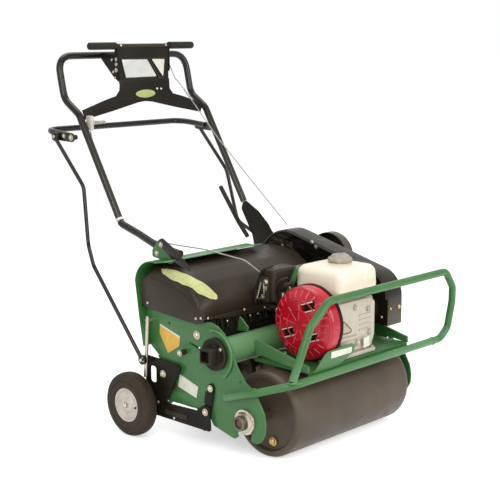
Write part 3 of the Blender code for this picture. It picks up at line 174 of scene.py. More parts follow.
def finish(name, colour, other, roughness, metallic=0.0, patch=14.0, grain=700.0, bump=0.12,
           gloss=0.08, edge=None, edge_wear_highlight_from=0.53, coat=0.0, dust=None, shine=0.3):
    """A surface with patches of a second colour, a fine grain, and edges made lighter, partly as rubbed
    wear and partly as a painted highlight.
    """
    made = bpy.data.materials.new(name)
    made.use_nodes = True
    tree = made.node_tree
    shader = tree.nodes["Principled BSDF"]
    where = linked(tree, "ShaderNodeTexCoord").outputs["Object"]
    patches = noise(tree, where, patch)
    fine = noise(tree, where, grain, 2.0)
    tint = blend(tree, spread(tree, patches, 0.0, 1.0, 0.35, 0.68), colour, other)
    if dust is not None:
        settle = noise(tree, where, 5.0, 5.0, 0.65)
        tint = blend(tree, spread(tree, settle, 0.0, 0.35, 0.48, 0.75), tint, dust)
    # Pointiness lightens the edges towards the edge colour: partly rubbed wear, partly a painted
    # highlight.
    if edge is not None:
        shape = linked(tree, "ShaderNodeNewGeometry").outputs["Pointiness"]
        edge_wear_highlight = spread(tree, shape, 0.0, 0.65, edge_wear_highlight_from, edge_wear_highlight_from + 0.05)
        tint = blend(tree, edge_wear_highlight, tint, edge)
    tree.links.new(tint, shader.inputs["Base Color"])
    low, high = roughness - gloss, roughness + gloss
    tree.links.new(spread(tree, noise(tree, where, patch * 3), low, high), shader.inputs["Roughness"])
    relief = linked(tree, "ShaderNodeBump")
    relief.inputs["Strength"].default_value = bump
    relief.inputs["Distance"].default_value = 0.0006
    tree.links.new(fine, relief.inputs["Height"])
    tree.links.new(relief.outputs["Normal"], shader.inputs["Normal"])
    shader.inputs["Metallic"].default_value = metallic
    shader.inputs["Specular IOR Level"].default_value = shine
    shader.inputs["Coat Weight"].default_value = coat
    shader.inputs["Coat Roughness"].default_value = 0.15
    made.diffuse_color = (*colour, 1.0)
    return made


# Each edge colour below is lighter than its paint: partly rubbed wear, partly a painted highlight along
# the edges.
GREEN = finish("green enamel", (0.030, 0.118, 0.030), (0.040, 0.140, 0.038), 0.34,
               grain=420, bump=0.10, edge=(0.13, 0.26, 0.12), coat=0.12)
BLACK = finish("black powder coat", (0.0075, 0.0058, 0.0032), (0.012, 0.0095, 0.006), 0.42,
               grain=900, bump=0.22, edge=(0.05, 0.043, 0.032), shine=0.12)
TUBE = finish("black tube enamel", (0.0075, 0.0058, 0.0032), (0.0115, 0.009, 0.0055), 0.24,
              grain=500, bump=0.04, edge=(0.06, 0.052, 0.040), shine=0.32)
HOOD = finish("moulded black plastic", (0.020, 0.0145, 0.0085), (0.028, 0.021, 0.0125), 0.38,
              grain=1300, bump=0.30, dust=(0.050, 0.040, 0.027), shine=0.20)
DRUM = finish("brown drum paint", (0.058, 0.042, 0.028), (0.076, 0.055, 0.036), 0.42,
              patch=8, grain=260, bump=0.16, dust=(0.115, 0.085, 0.058), edge=(0.15, 0.12, 0.085),
              shine=0.25)
TYRE = finish("tyre rubber", (0.030, 0.0235, 0.0155), (0.042, 0.033, 0.022), 0.66,
              grain=600, bump=0.35, dust=(0.085, 0.065, 0.045), shine=0.15)
RIM = finish("rim enamel", (0.56, 0.52, 0.45), (0.46, 0.42, 0.355), 0.38, patch=30,
             bump=0.10, dust=(0.28, 0.24, 0.18))
ZINC = finish("zinc plate", (0.40, 0.35, 0.27), (0.54, 0.49, 0.40), 0.32, metallic=0.85,
              patch=60, bump=0.10)
BRASS = finish("brass", (0.58, 0.42, 0.18), (0.42, 0.30, 0.12), 0.30, metallic=0.9, patch=60)
STEEL = finish("bare steel", (0.16, 0.135, 0.105), (0.10, 0.078, 0.054), 0.42, metallic=0.7,
               patch=40, bump=0.25, dust=(0.085, 0.055, 0.032))
RED = finish("red engine cover", (0.44, 0.003, 0.018), (0.33, 0.002, 0.013), 0.26,
             patch=26, grain=200, bump=0.08, gloss=0.06, coat=0.3, edge=(0.72, 0.10, 0.11),
             edge_wear_highlight_from=0.56)
CASTING = finish("cast aluminium", (0.50, 0.45, 0.375), (0.43, 0.385, 0.315), 0.48, metallic=0.25,
                 patch=50, grain=500, bump=0.45, dust=(0.26, 0.22, 0.165))
CREAM = finish("cream tank enamel", (0.80, 0.70, 0.56), (0.76, 0.66, 0.52), 0.26, patch=9,
               grain=300, bump=0.04, gloss=0.05, coat=0.3)
CAP = finish("grey cap plastic", (0.34, 0.30, 0.25), (0.28, 0.25, 0.205), 0.44, patch=40,
             grain=900, bump=0.25)
RUBBER = finish("black rubber", (0.012, 0.010, 0.007), (0.019, 0.016, 0.011), 0.62,
                grain=800, bump=0.40, shine=0.2)
SHEATH = finish("grey cable sheath", (0.26, 0.26, 0.25), (0.36, 0.36, 0.34), 0.42,
                patch=90)
LABEL = finish("bare label", (0.66, 0.65, 0.55), (0.58, 0.57, 0.48), 0.42, patch=60, bump=0.05)
PANE = finish("clear panel window", (0.60, 0.60, 0.57), (0.50, 0.50, 0.47), 0.16, patch=16,
              bump=0.03, coat=0.5)
YELLOW = finish("bare yellow label", (0.66, 0.40, 0.065), (0.58, 0.35, 0.055), 0.42, patch=60,
                bump=0.05)
BADGE = finish("bare oval plate", (0.36, 0.41, 0.15), (0.31, 0.36, 0.13), 0.34, patch=50,
               bump=0.05, coat=0.3)
PALE = finish("bare hood decal", (0.40, 0.42, 0.17), (0.52, 0.55, 0.30), 0.34, patch=55,
              bump=0.05, dust=(0.56, 0.50, 0.12))
PATCH = finish("bare hood patch", (0.46, 0.48, 0.26), (0.40, 0.42, 0.13), 0.36, patch=70, bump=0.05,
               dust=(0.62, 0.60, 0.40))
OLIVE = finish("olive black enamel", (0.015, 0.0115, 0.0065), (0.023, 0.018, 0.0105), 0.34,
               patch=9, grain=600, bump=0.14, edge=(0.09, 0.078, 0.055), shine=0.22)
# A near-black for sheets and blocks that stand for shade where pieces are seen into: painted shade.
SHADE_BLACK = finish("painted shade black", (0.010, 0.008, 0.005), (0.016, 0.013, 0.009), 0.70, patch=40, shine=0.1)

SLOTS = {
    "green_paint": GREEN, "black_paint": BLACK, "black_plastic": HOOD, "drum_brown": DRUM,
    "tyre_rubber": TYRE, "rim_grey": RIM, "zinc": ZINC, "brass": BRASS, "steel": STEEL,
    "engine_red": RED, "engine_grey": CASTING, "tank_cream": CREAM, "cap_grey": CAP,
    "grip_rubber": RUBBER, "belt_rubber": RUBBER, "cable_sheath": SHEATH,
}


# Shapes, in metres: to_x, to_y and to_z place a flat outline, the others add a closed form

def to_x(x_low, x_high):
    """Stands a flat outline of Y and Z upright, between two X values."""
    turn = Matrix.Rotation(math.pi / 2, 4, "Z") @ Matrix.Rotation(math.pi / 2, 4, "X")
    return Matrix.Translation(((x_low + x_high) / 2, 0, 0)) @ turn


def to_y(y_low, y_high):
    """Stands a flat outline of X and Z upright, between two Y values."""
    return Matrix.Translation((0, (y_low + y_high) / 2, 0)) @ Matrix.Rotation(math.pi / 2, 4, "X")


def to_z(z_low, z_high):
    return Matrix.Translation((0, 0, (z_low + z_high) / 2))


def sheet(shape, loops, stand, low, high, edge=0.0008, rounds=2):
    """A flat outline with holes, given thickness, with rounded edges."""
    low, high = sorted((low, high))
    edge = min(edge, (high - low) * 0.45)
    data = bpy.data.curves.new("outline", "CURVE")
    data.dimensions = "2D"
    data.fill_mode = "BOTH"
    for loop in loops:
        spline = data.splines.new("POLY")
        spline.points.add(len(loop) - 1)
        for point, corner in zip(spline.points, loop):
            point.co = (corner[0], corner[1], 0.0, 1.0)
        spline.use_cyclic_u = True
    data.extrude = (high - low) / 2 - edge
    data.bevel_depth = edge
    data.bevel_resolution = rounds
    data.offset = -edge
    item = bpy.data.objects.new("outline", data)
    bpy.context.scene.collection.objects.link(item)
    bpy.context.view_layer.update()
    graph = bpy.context.evaluated_depsgraph_get()
    solid = bpy.data.meshes.new_from_object(item.evaluated_get(graph))
    solid.transform(stand(low, high))
    shape.from_mesh(solid)
    bpy.data.objects.remove(item)
    bpy.data.meshes.remove(solid)
    bmesh.ops.remove_doubles(shape, verts=shape.verts, dist=0.000005)


def block(shape, low, high, edge=0.001, segments=2, taper=0.0):
    """A box with rounded edges; taper draws its top in on X and Y."""
    low, high = Vector(low), Vector(high)
    made = bmesh.ops.create_cube(shape, size=1.0)["verts"]
    for corner in made:
        top = corner.co.z > 0
        for axis in range(3):
            corner.co[axis] = high[axis] if corner.co[axis] > 0 else low[axis]
        if top and taper:
            middle = (low + high) / 2
            corner.co.x += taper if corner.co.x < middle.x else -taper
            corner.co.y += taper if corner.co.y < middle.y else -taper
    edges = list({e for v in made for e in v.link_edges})
    bmesh.ops.bevel(shape, geom=edges, offset=edge, segments=segments, profile=0.5,
                    affect="EDGES")


def turned(shape, profile, centre, way=(1, 0, 0), steps=48, lobes=0, depth=0.0):
    """A turned form: profile holds (distance along way, radius) pairs."""
    way = Vector(way).normalized()
    frame_turn = way.to_track_quat("Z", "Y").to_matrix()
    centre = Vector(centre)
    rings = []
    for along, radius in profile:
        if radius < 0.00001:
            rings.append([shape.verts.new(centre + frame_turn @ Vector((0, 0, along)))])
            continue
        ring = []
        for i in range(steps):
            angle = math.tau * i / steps
            reach = radius
            if lobes:
                reach -= depth * (0.5 + 0.5 * math.cos(lobes * angle)) ** 2
            spot = Vector((reach * math.cos(angle), reach * math.sin(angle), along))
            ring.append(shape.verts.new(centre + frame_turn @ spot))
        rings.append(ring)
    for first, second in zip(rings, rings[1:]):
        for i in range(steps):
            k = (i + 1) % steps
            if len(first) == 1 and len(second) == 1:
                continue
            if len(first) == 1:
                shape.faces.new((first[0], second[k], second[i]))
            elif len(second) == 1:
                shape.faces.new((first[i], first[k], second[0]))
            else:
                shape.faces.new((first[i], first[k], second[k], second[i]))
    if profile[0] != profile[-1]:
        for end in (rings[0], rings[-1]):
            if len(end) > 1:
                shape.faces.new(end)


def pin(shape, x_low, x_high, radius, y, z, steps=24):
    """A plain round pin along X."""
    turned(shape, [(x_low, radius), (x_high, radius)], (0, y, z), steps=steps)


def ring(shape, profile, centre, way=(1, 0, 0), steps=48):
    """A turned form with a bore: its profile goes right round and closes on itself."""
    turned(shape, [*profile, profile[0]], centre, way, steps)
    bmesh.ops.remove_doubles(shape, verts=shape.verts, dist=0.000001)


def pipe(shape, points, radius, sides=20, chamfer=0.15, flat=1.0):
    """A round bar along points, with chamfered ends; flat under 1 squashes it."""
    points = [Vector(p) for p in points]
    start = (points[1] - points[0]).normalized()
    side = start.orthogonal().normalized()
    rings = []
    cuts = [(0, 1 - chamfer), (chamfer * radius, 1.0)]
    for index, point in enumerate(points):
        before = points[max(index - 1, 0)]
        after = points[min(index + 1, len(points) - 1)]
        ahead = (after - before).normalized()
        side = (side - ahead * side.dot(ahead)).normalized()
        up = ahead.cross(side)
        stops = [(0.0, 1.0)]
        if index == 0:
            stops = cuts
        elif index == len(points) - 1:
            stops = [(-chamfer * radius, 1.0), (0, 1 - chamfer)]
        for shift, scale in stops:
            middle = point + ahead * shift
            ring_verts = []
            for i in range(sides):
                angle = math.tau * i / sides
                spot = side * math.cos(angle) * flat + up * math.sin(angle)
                ring_verts.append(shape.verts.new(middle + spot * radius * scale))
            rings.append(ring_verts)
    for first, second in zip(rings, rings[1:]):
        for i in range(sides):
            k = (i + 1) % sides
            shape.faces.new((first[i], first[k], second[k], second[i]))
    shape.faces.new(rings[0])
    shape.faces.new(rings[-1])


def bolt(shape, centre, way, size=0.0065, washer=True):
    """A hexagon head on a washer; size is the head's radius."""
    centre, way = Vector(centre), Vector(way).normalized()
    start = 0.0
    if washer:
        thick = size * 0.22
        turned(shape, [(0, size * 1.45), (thick, size * 1.45), (thick * 1.2, size * 1.35)], centre,
               way, 24)
        start = thick
    turned(shape, [(start, size), (start + size * 0.55, size), (start + size * 0.68, size * 0.86),
                   (start + size * 0.68, 0.0)], centre, way, 6)


def dome(shape, centre, way, size=0.006):
    """A low round bolt or rivet head."""
    turned(shape, [(0, size), (size * 0.18, size), (size * 0.42, size * 0.78),
                   (size * 0.55, size * 0.4), (size * 0.58, 0.0)], centre, way, 20)


def round_bead(shape, centre, radius, way=(1, 0, 0), thick=0.003, start=0.0, end=360.0):
    """A weld bead round a tube where it meets a plate."""
    turn = Vector(way).normalized().to_track_quat("Z", "Y").to_matrix()
    points = []
    for i in range(41):
        angle = math.radians(start + (end - start) * i / 40)
        wobble = radius + 0.0004 * math.sin(i * 2.1)
        points.append(Vector(centre) + turn @ Vector((wobble * math.cos(angle),
                                                      wobble * math.sin(angle), 0)))
    pipe(shape, points, thick, 8)


# Outlines and paths

def arc(y, z, radius, start, end, steps=12):
    points = []
    for i in range(steps + 1):
        angle = math.radians(start + (end - start) * i / steps)
        points.append((y + radius * math.cos(angle), z + radius * math.sin(angle)))
    return points


def circle(y, z, radius, steps=40, start=0):
    return arc(y, z, radius, start, start + 360, steps)[:-1]


def capsule(first, second, radius, second_radius=None, steps=14):
    """The outline round two circles and their common tangents."""
    second_radius = radius if second_radius is None else second_radius
    (y1, z1), (y2, z2) = first, second
    length = math.hypot(y2 - y1, z2 - z1)
    along = math.degrees(math.atan2(z2 - z1, y2 - y1))
    top = 90 - math.degrees(math.asin((radius - second_radius) / length))
    points = arc(y1, z1, radius, along + top, along + 360 - top, steps)
    points += arc(y2, z2, second_radius, along - top, along + top, steps)
    return points


def rounded(corners, radius, steps=5, closed=True):
    """Rounds the corners of an outline or a path."""
    count = len(corners)
    result = []
    for i, corner in enumerate(corners):
        corner = Vector(corner)
        if not closed and i in (0, count - 1):
            result.append(tuple(corner))
            continue
        before = Vector(corners[i - 1]) - corner
        after = Vector(corners[(i + 1) % count]) - corner
        half = before.angle(after) / 2
        reach = min(radius / math.tan(half), before.length * 0.48, after.length * 0.48)
        start = corner + before.normalized() * reach
        end = corner + after.normalized() * reach
        for k in range(steps + 1):
            t = k / steps
            spot = start * (1 - t) ** 2 + corner * 2 * t * (1 - t) + end * t ** 2
            result.append(tuple(spot))
    return result


def strip(line, thickness):
    """A closed outline of one thickness along an open line, laid to its left side."""
    offset = []
    for i, point in enumerate(line):
        before = Vector(line[max(i - 1, 0)])
        after = Vector(line[min(i + 1, len(line) - 1)])
        ahead = (after - before).normalized()
        offset.append(tuple(Vector(point) + Vector((-ahead.y, ahead.x)) * thickness))
    return list(line) + offset[::-1]


def piece(name, shape, material, body="frame", nodes=(), angle=32):
    """Makes the object, puts it where the CAD stands and ties it to its body.

    When body is not one body's name, the piece is tied to no body and the names and points in it are
    not used.
    """
    bmesh.ops.recalc_face_normals(shape, faces=shape.faces)
    data = bpy.data.meshes.new(name)
    shape.to_mesh(data)
    shape.free()
    data.polygons.foreach_set("use_smooth", [True] * len(data.polygons))
    data.set_sharp_from_angle(angle=math.radians(angle))
    data.materials.append(material)
    item = bpy.data.objects.new(name, data)
    bpy.context.scene.collection.objects.link(item)
    item.location = ORIGIN
    if isinstance(body, str):
        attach(item, body)
    else:
        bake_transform(item)
    if nodes:
        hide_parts(*nodes)
    return item


def skin(node, shape, material, body="frame", angle=32):
    """The piece that replaces one CAD node."""
    return piece(node + "_skin", shape, material, body, [node], angle)


def fittings(name, shape, body="frame"):
    """Zinc-plated fasteners and other small bare parts."""
    piece(name, shape, ZINC, body, ())


def patch(name, material, corners, radius, stand, low, high, edge=0.0003):
    """A thin bare label or pane on the frame."""
    shape = bmesh.new()
    sheet(shape, [rounded(corners, radius, 3)], stand, low, high, edge, 1)
    piece(name, shape, material)


def cut(item, shape):
    """Takes a closed form out of a piece."""
    bmesh.ops.recalc_face_normals(shape, faces=shape.faces)
    data = bpy.data.meshes.new("cutter")
    shape.to_mesh(data)
    shape.free()
    cutter = bpy.data.objects.new("cutter", data)
    bpy.context.scene.collection.objects.link(cutter)
    cutter.location = ORIGIN
    step = item.modifiers.new("cut", "BOOLEAN")
    step.operation = "DIFFERENCE"
    step.solver = "EXACT"
    step.object = cutter
    bpy.context.view_layer.update()
    graph = bpy.context.evaluated_depsgraph_get()
    solid = bpy.data.meshes.new_from_object(item.evaluated_get(graph))
    item.modifiers.clear()
    item.data = solid
    item.data.set_sharp_from_angle(angle=math.radians(32))
    bpy.data.objects.remove(cutter)
    return item


# Frame

def plate_outline():
    upper = [(0.376, 0.262), (0.388, 0.335), (0.391, 0.400), (0.382, 0.432), (0.355, 0.452),
             (0.310, 0.452), (0.262, 0.430), (0.205, 0.392), (0.165, 0.366)]
    lobe = [(0.135, 0.371), (0.105, 0.364), (0.078, 0.345), (0.052, 0.308), (0.034, 0.268)]
    nose = [(0.002, 0.228), (-0.024, 0.212), (-0.044, 0.192), (-0.066, 0.156), (-0.072, 0.127),
            (-0.070, 0.100), (-0.058, 0.078), (-0.044, 0.066), (-SLOT_HALF, 0.068)]
    slot = arc(0.0, DRUM_R, SLOT_HALF, 180, 0, 16)
    foot = [(SLOT_HALF, 0.072), (0.040, 0.062), (0.054, 0.064), (0.122, 0.081), (0.134, 0.100),
            (0.160, 0.115), (0.326, 0.113), (0.334, 0.222), (0.350, 0.244)]
    return rounded(upper + lobe + nose, 0.025, 4) + slot + rounded(foot, 0.006, 3)


def side_plates():
    for side, name in SIDES:
        shape = bmesh.new()
        holes = [circle(TUBE_Y, TUBE_Z, TUBE_R + SKIN), circle(REEL_Y, REEL_Z, 0.0133),
                 circle(0.019, 0.225, 0.0035, 12), circle(0.050, 0.268, 0.0035, 12),
                 circle(0.296, 0.341, 0.0035, 12)]
        if side > 0:
            holes.append(circle(JACK_Y, JACK_Z, 0.0108, 24))
        slots = [capsule((0.212, 0.299), (0.172, 0.289), 0.0028, None, 6),
                 capsule((0.151, 0.171), (0.156, 0.139), 0.0024, None, 6)]
        sheet(shape, [plate_outline(), *holes, *slots], to_x, side * PLATE_IN, side * PLATE_OUT,
              0.0012)
        skin("side_plate_" + name, shape, GREEN)
        shape = bmesh.new()
        round_bead(shape, (side * (PLATE_IN - 0.0012), TUBE_Y, TUBE_Z), TUBE_R + 0.001)
        lip = [(side * (PLATE_OUT + 0.0035), y, z) for y, z in arc(TUBE_Y + 0.004, TUBE_Z - 0.002,
                                                                   0.066, 78, 236, 28)]
        pipe(shape, lip, 0.0038, 10, 0.4)
        piece("side_plate_" + name + "_lip", shape, GREEN)


def cross_tube():
    shape = bmesh.new()
    wall = 0.005
    ring(shape, [(-PLATE_OUT, TUBE_R), (PLATE_OUT, TUBE_R), (PLATE_OUT, TUBE_R - wall),
                 (-PLATE_OUT, TUBE_R - wall)], (0, TUBE_Y, TUBE_Z), steps=72)
    skin("cross_tube", shape, GREEN)


def hub_carrier():
    face = PLATE_OUT + SKIN
    shape = bmesh.new()
    turned(shape, [(-face, 0.045), (-face - 0.011, 0.045), (-face - 0.014, 0.042),
                   (-face - 0.014, 0.030), (-face - 0.019, 0.027), (-face - 0.019, 0.0),
                   (-face, 0.0)], (0, TUBE_Y, TUBE_Z), steps=64)
    half = 0.0215
    block(shape, (-face - 0.0435, TUBE_Y - half, TUBE_Z - half),
          (-face - 0.010, TUBE_Y + half, TUBE_Z + half), 0.004, 3)
    arm_end = (0.232, 0.270)
    arm = capsule((TUBE_Y, TUBE_Z), arm_end, 0.030, 0.016)
    sheet(shape, [arm], to_x, -face - 0.0200, -face - 0.0142, 0.0014)
    pin(shape, -face, -face - 0.016, 0.008, *arm_end)
    for i in range(5):
        angle = math.radians(100 + i * 40)
        rib = Vector((0, math.cos(angle), math.sin(angle)))
        root = Vector((-face - 0.0145, TUBE_Y, TUBE_Z))
        pipe(shape, [root + rib * 0.026, root + rib * 0.041], 0.0022, 8, 0.4)
    hub = piece("hub_carrier_casting", shape, BLACK, "frame", ["hub_carrier"])
    shape = bmesh.new()
    block(shape, (-face - 0.050, TUBE_Y - 0.0145, TUBE_Z - 0.0145),
          (-face - 0.024, TUBE_Y + 0.0145, TUBE_Z + 0.0145), 0.002, 2)
    cut(hub, shape)
    shape = bmesh.new()
    bolt(shape, (-face - 0.0200, *arm_end), (-1, 0, 0), 0.0062)
    bolt(shape, (-PLATE_OUT, 0.184, 0.327), (-1, 0, 0), 0.0085)
    dome(shape, (-face - 0.0142, TUBE_Y - 0.030, TUBE_Z + 0.020), (-1, 0, 0), 0.005)
    fittings("hub_carrier_bolts", shape)


def side_details():
    """The lever bar on the near side plate and the small gusset on the cross tube."""
    x = -PLATE_OUT - 0.0165
    shape = bmesh.new()
    pipe(shape, [(x, 0.367, 0.353), (x, 0.381, 0.171)], 0.0056, 18)
    turned(shape, [(-PLATE_OUT, 0.0060), (x - 0.002, 0.0060), (x - 0.004, 0.0050)], (0, 0.369, 0.340),
           steps=24)
    pin(shape, -PLATE_OUT, x - 0.001, 0.0045, 0.3795, 0.190, 20)
    fittings("near_lever_bar", shape)
    shape = bmesh.new()
    web = [(0.152, 0.322), (0.144, 0.363), (0.138, 0.362), (0.110, 0.338), (0.112, 0.326)]
    for x in (-0.202, 0.098):
        sheet(shape, [web], to_x, x, x + 0.004, 0.0008)
    piece("tube_webs", shape, GREEN)


def deck():
    label = [(-0.119, 0.2755), (-0.030, 0.2755), (-0.028, 0.2915), (-0.117, 0.2940)]
    patch("deck_label", LABEL, label, 0.003, to_y, -0.1220, -0.1216, 0.0001)
    shape = bmesh.new()
    for x in (-0.100, 0.125):
        for y in (-0.070, 0.060):
            bolt(shape, (x, y, DECK_TOP), (0, 0, 1), 0.0065)
    fittings("deck_bolts", shape)


def rails():
    wall = PLATE_OUT + RAIL_R + SKIN
    far = RAIL_FAR - 0.085
    shape = bmesh.new()
    bar = rounded([(-wall, 0.062, 0.177), (-wall, -0.048, 0.212), (-0.282, RAIL_Y, RAIL_Z),
                   (far, RAIL_Y, RAIL_Z)], 0.05, 8, closed=False)
    pipe(shape, bar, RAIL_R, 24)
    skin("front_bar", shape, GREEN)
    shape = bmesh.new()
    loop = [(far + SKIN, RAIL_Y, RAIL_Z), (RAIL_FAR - 0.045, RAIL_Y, RAIL_Z),
            (RAIL_FAR - 0.012, RAIL_Y - 0.004, RAIL_Z + 0.030),
            (RAIL_FAR, RAIL_Y - 0.010, 0.350), (RAIL_FAR - 0.010, RAIL_TOP_Y, 0.395),
            (RAIL_FAR - 0.048, RAIL_TOP_Y, RAIL_TOP_Z), (-0.165, RAIL_TOP_Y, RAIL_TOP_Z),
            (-0.232, RAIL_TOP_Y + 0.006, 0.385), (-0.264, RAIL_Y - 0.006, 0.310),
            (-0.288, RAIL_Y, RAIL_Z + RAIL_R * 0.9)]
    pipe(shape, rounded(loop, 0.035, 7, closed=False), RAIL_R, 24)
    skin("guard_loop", shape, GREEN)
    shape = bmesh.new()
    round_bead(shape, (-0.2875, RAIL_Y, RAIL_Z + RAIL_R * 0.95), RAIL_R, (-0.2, 0, 1), 0.0022)
    round_bead(shape, (far, RAIL_Y, RAIL_Z), RAIL_R, (1, 0, 0), 0.0016)
    for z in (0.167, 0.188):
        line = [(-PLATE_OUT - 0.002, 0.062 - 0.10 * i / 12, z + 0.0318 * i / 12) for i in range(13)]
        pipe(shape, line, 0.0022, 8)
    piece("rail_welds", shape, GREEN)


def panel_line(last_angle=100, steps=20):
    return [(0.386, 0.262), (0.400, 0.335), *arc(0.345, 0.441, 0.073, 8, last_angle, steps)]


def rear_panel():
    shape = bmesh.new()
    sheet(shape, [strip([*panel_line(), (0.290, 0.521)], 0.003)], to_x, -0.348, CURL_FAR, 0.0009)
    sheet(shape, [strip(panel_line(36, 8), 0.003)], to_x, CURL_FAR - 0.001, 0.236, 0.0009)
    ear = rounded([(0.394, 0.516), (0.394, 0.536), (0.372, 0.562), (0.339, 0.546), (0.288, 0.519),
                   (0.318, 0.503), (0.365, 0.512)], 0.005, 4)
    near = -HANDLE_HALF - 0.0185 - HANDLE_R
    sheet(shape, [ear], to_x, near - 0.004, near, 0.0009)
    skin("rear_panel", shape, GREEN)
    shape = bmesh.new()
    bolt(shape, (near - 0.0078, 0.352, 0.556), (-1, 0, 0), 0.0056)
    bolt(shape, (near - 0.004, 0.374, 0.528), (-1, 0, 0), 0.0052)
    fittings("rear_panel_bolts", shape)
    strap = [(0.360, 0.570), (0.347, 0.575), (0.293, 0.5475), (0.229, 0.4990), (0.242, 0.4945),
             (0.294, 0.5105), (0.369, 0.5585)]
    shape = bmesh.new()
    sheet(shape, [rounded(strap, 0.006, 4)], to_x, near - 0.0078, near - 0.0043, 0.0009)
    piece("handle_strap", shape, TUBE)


def cover_line(steps=16):
    """The tine cover's outside in Y and Z, from its rear edge to its front edge."""
    return [(COVER_REAR, COVER_LOW), *arc(0.339, 0.440, 0.062, 0, 92, steps),
            *rounded([(0.336, 0.502), (0.285, 0.4995), (0.240, 0.489), (0.196, 0.464),
                      (0.164, 0.424), (COVER_FRONT, COVER_LOW)], 0.05, 5, closed=False)[1:]]


def cover_spot(x, y, z, lift=0.0):
    """A point of the cover's outline in Y and Z, brought in where the near end rolls over."""
    rise, front_long, rear_long = 0.05, 0.12, 0.06
    away = Vector((y, z)) - Vector((COVER_MIDDLE_Y, COVER_LOW))
    along = min(1.0, max(0.0, (x - COVER_NEAR) / COVER_ROLL_LONG))
    inset = COVER_ROLL_IN * (1 - math.sin(math.acos(1 - along)))
    inset *= min(1.0, max(0.0, (z - COVER_LOW) / rise))
    inset *= min(1.0, 0.45 + 0.55 * max(0.0, (y - COVER_FRONT) / front_long))
    inset *= min(1.0, 0.25 + max(0.0, (COVER_REAR - y) / rear_long))
    far = min(1.0, max(0.0, (COVER_FAR - x) / COVER_FAR_R))
    inset += COVER_FAR_R * (1 - math.sin(math.acos(1 - far)))
    spot = Vector((y, z)) - away.normalized() * (inset - lift)
    return (x, spot.x, spot.y)


def cover_point(along):
    """The outline's point at a length along it."""
    line = cover_line()
    for first, second in zip(line, line[1:]):
        step = math.dist(first, second)
        if along <= step:
            share = along / step
            return tuple(a + (b - a) * share for a, b in zip(first, second))
        along -= step
    return line[-1]


def decal(shape, outline, centre, lift):
    """A thin patch that follows the cover; outline holds X and the length along the section."""
    corners = rounded(outline, 0.02, 4)
    outline = []
    for first, second in zip(corners, corners[1:] + corners[:1]):
        outline += [tuple(Vector(first).lerp(Vector(second), i / 3)) for i in range(3)]
    rings = 24
    for level in (lift, lift + 0.0004):
        rows = []
        for k in range(1, rings + 1):
            share = k / rings
            row = []
            for x, along in outline:
                across = centre[0] + (x - centre[0]) * share
                length = centre[1] + (along - centre[1]) * share
                row.append(shape.verts.new(cover_spot(across, *cover_point(length), level)))
            rows.append(row)
        top = shape.verts.new(cover_spot(centre[0], *cover_point(centre[1]), level))
        count = len(outline)
        for i in range(count):
            shape.faces.new((top, rows[0][i], rows[0][(i + 1) % count]))
        for first, second in zip(rows, rows[1:]):
            for i in range(count):
                k = (i + 1) % count
                shape.faces.new((first[i], second[i], second[k], first[k]))
        if level == lift:
            low = rows[-1]
    for i in range(count):
        k = (i + 1) % count
        shape.faces.new((low[i], rows[-1][i], rows[-1][k], low[k]))


def tine_cover():
    turns = [math.radians(a) for a in range(12, 91, 3)]
    stations = [COVER_NEAR + COVER_ROLL_LONG * (1 - math.cos(a)) for a in turns]
    turns = [math.radians(a) for a in range(90, -1, -18)]
    stations += [COVER_FAR - COVER_FAR_R * (1 - math.cos(a)) for a in turns]
    stations[0] = COVER_NEAR
    shape = bmesh.new()
    rings = []
    for x in stations:
        rings.append([shape.verts.new(cover_spot(x, y, z)) for y, z in cover_line()])
    for first, second in zip(rings, rings[1:]):
        for i in range(len(first) - 1):
            shape.faces.new((first[i], first[i + 1], second[i + 1], second[i]))
    for row in (rings[0], rings[-1]):
        shape.faces.new(row)
    hood = piece("tine_cover_hood", shape, HOOD, "frame", ["tine_cover"], 50)
    wall = hood.modifiers.new("wall", "SOLIDIFY")
    wall.thickness = 0.003
    wall.offset = -1


def cover_skirt():
    shape = bmesh.new()
    skirt = [(0.399, COVER_LOW), (0.300, 0.368), (0.181, 0.360), (0.152, 0.366), (0.143, 0.378),
             (0.147, 0.392), (0.164, 0.400), (0.192, 0.418), (0.239, 0.442), (0.300, 0.458),
             (0.362, 0.466), (0.391, 0.462), (0.400, 0.440)]
    sheet(shape, [rounded(skirt, 0.02, 4)], to_x, COVER_NEAR - 0.0012, COVER_NEAR + 0.0014, 0.0008)
    lip = [(-0.334, COVER_LOW + 0.003), (-0.334, COVER_LOW), (-0.322, 0.373), (-0.215, 0.365),
           (-0.099, 0.360), (0.020, 0.361), (0.150, 0.366), (0.154, COVER_LOW + 0.003)]
    sheet(shape, [rounded(lip, 0.006, 4)], to_y, 0.1495, 0.1525, 0.0009)
    piece("tine_cover_skirt", shape, HOOD)


def cover_comb():
    """A sheet under the cover's front edge and the tine shapes hanging on it, all painted near-black to
    stand for the shade under the cover.
    """
    shape = bmesh.new()
    # Painted shade: this sheet fills the shadowed space under the cover's front edge.
    block(shape, (-0.318, 0.1600, 0.296), (COVER_FAR, 0.1625, 0.374), 0.0008)
    for i in range(15):
        x = -0.296 + i * 0.031
        lean = 0.006 * math.sin(i * 2.3)
        pipe(shape, [(x, 0.157, 0.372), (x + lean, 0.150, 0.335)], 0.0042, 10, 0.6)
        block(shape, (x - 0.012, 0.1535, 0.348), (x - 0.008, 0.160, 0.372), 0.0006)
    piece("tine_cover_comb", shape, SHADE_BLACK)
    shape = bmesh.new()
    for x in (-0.243, -0.150, -0.119, -0.026, 0.067):
        dome(shape, (x + 0.004, 0.1530, 0.356), (0, -1, 0.3), 0.0036)
    fittings("tine_cover_comb_nuts", shape)


def cover_bolts():
    shape = bmesh.new()
    for x in (-0.319, -0.175, -0.020, 0.130):
        dome(shape, (x, 0.1490, 0.378), (0, -1, 0.1), 0.0040)
    for y, z in ((0.375, 0.389), (0.178, 0.376), (0.158, 0.380)):
        dome(shape, (COVER_NEAR - 0.0012, y, z), (-1, 0, 0), 0.0040)
    fittings("tine_cover_bolts", shape)


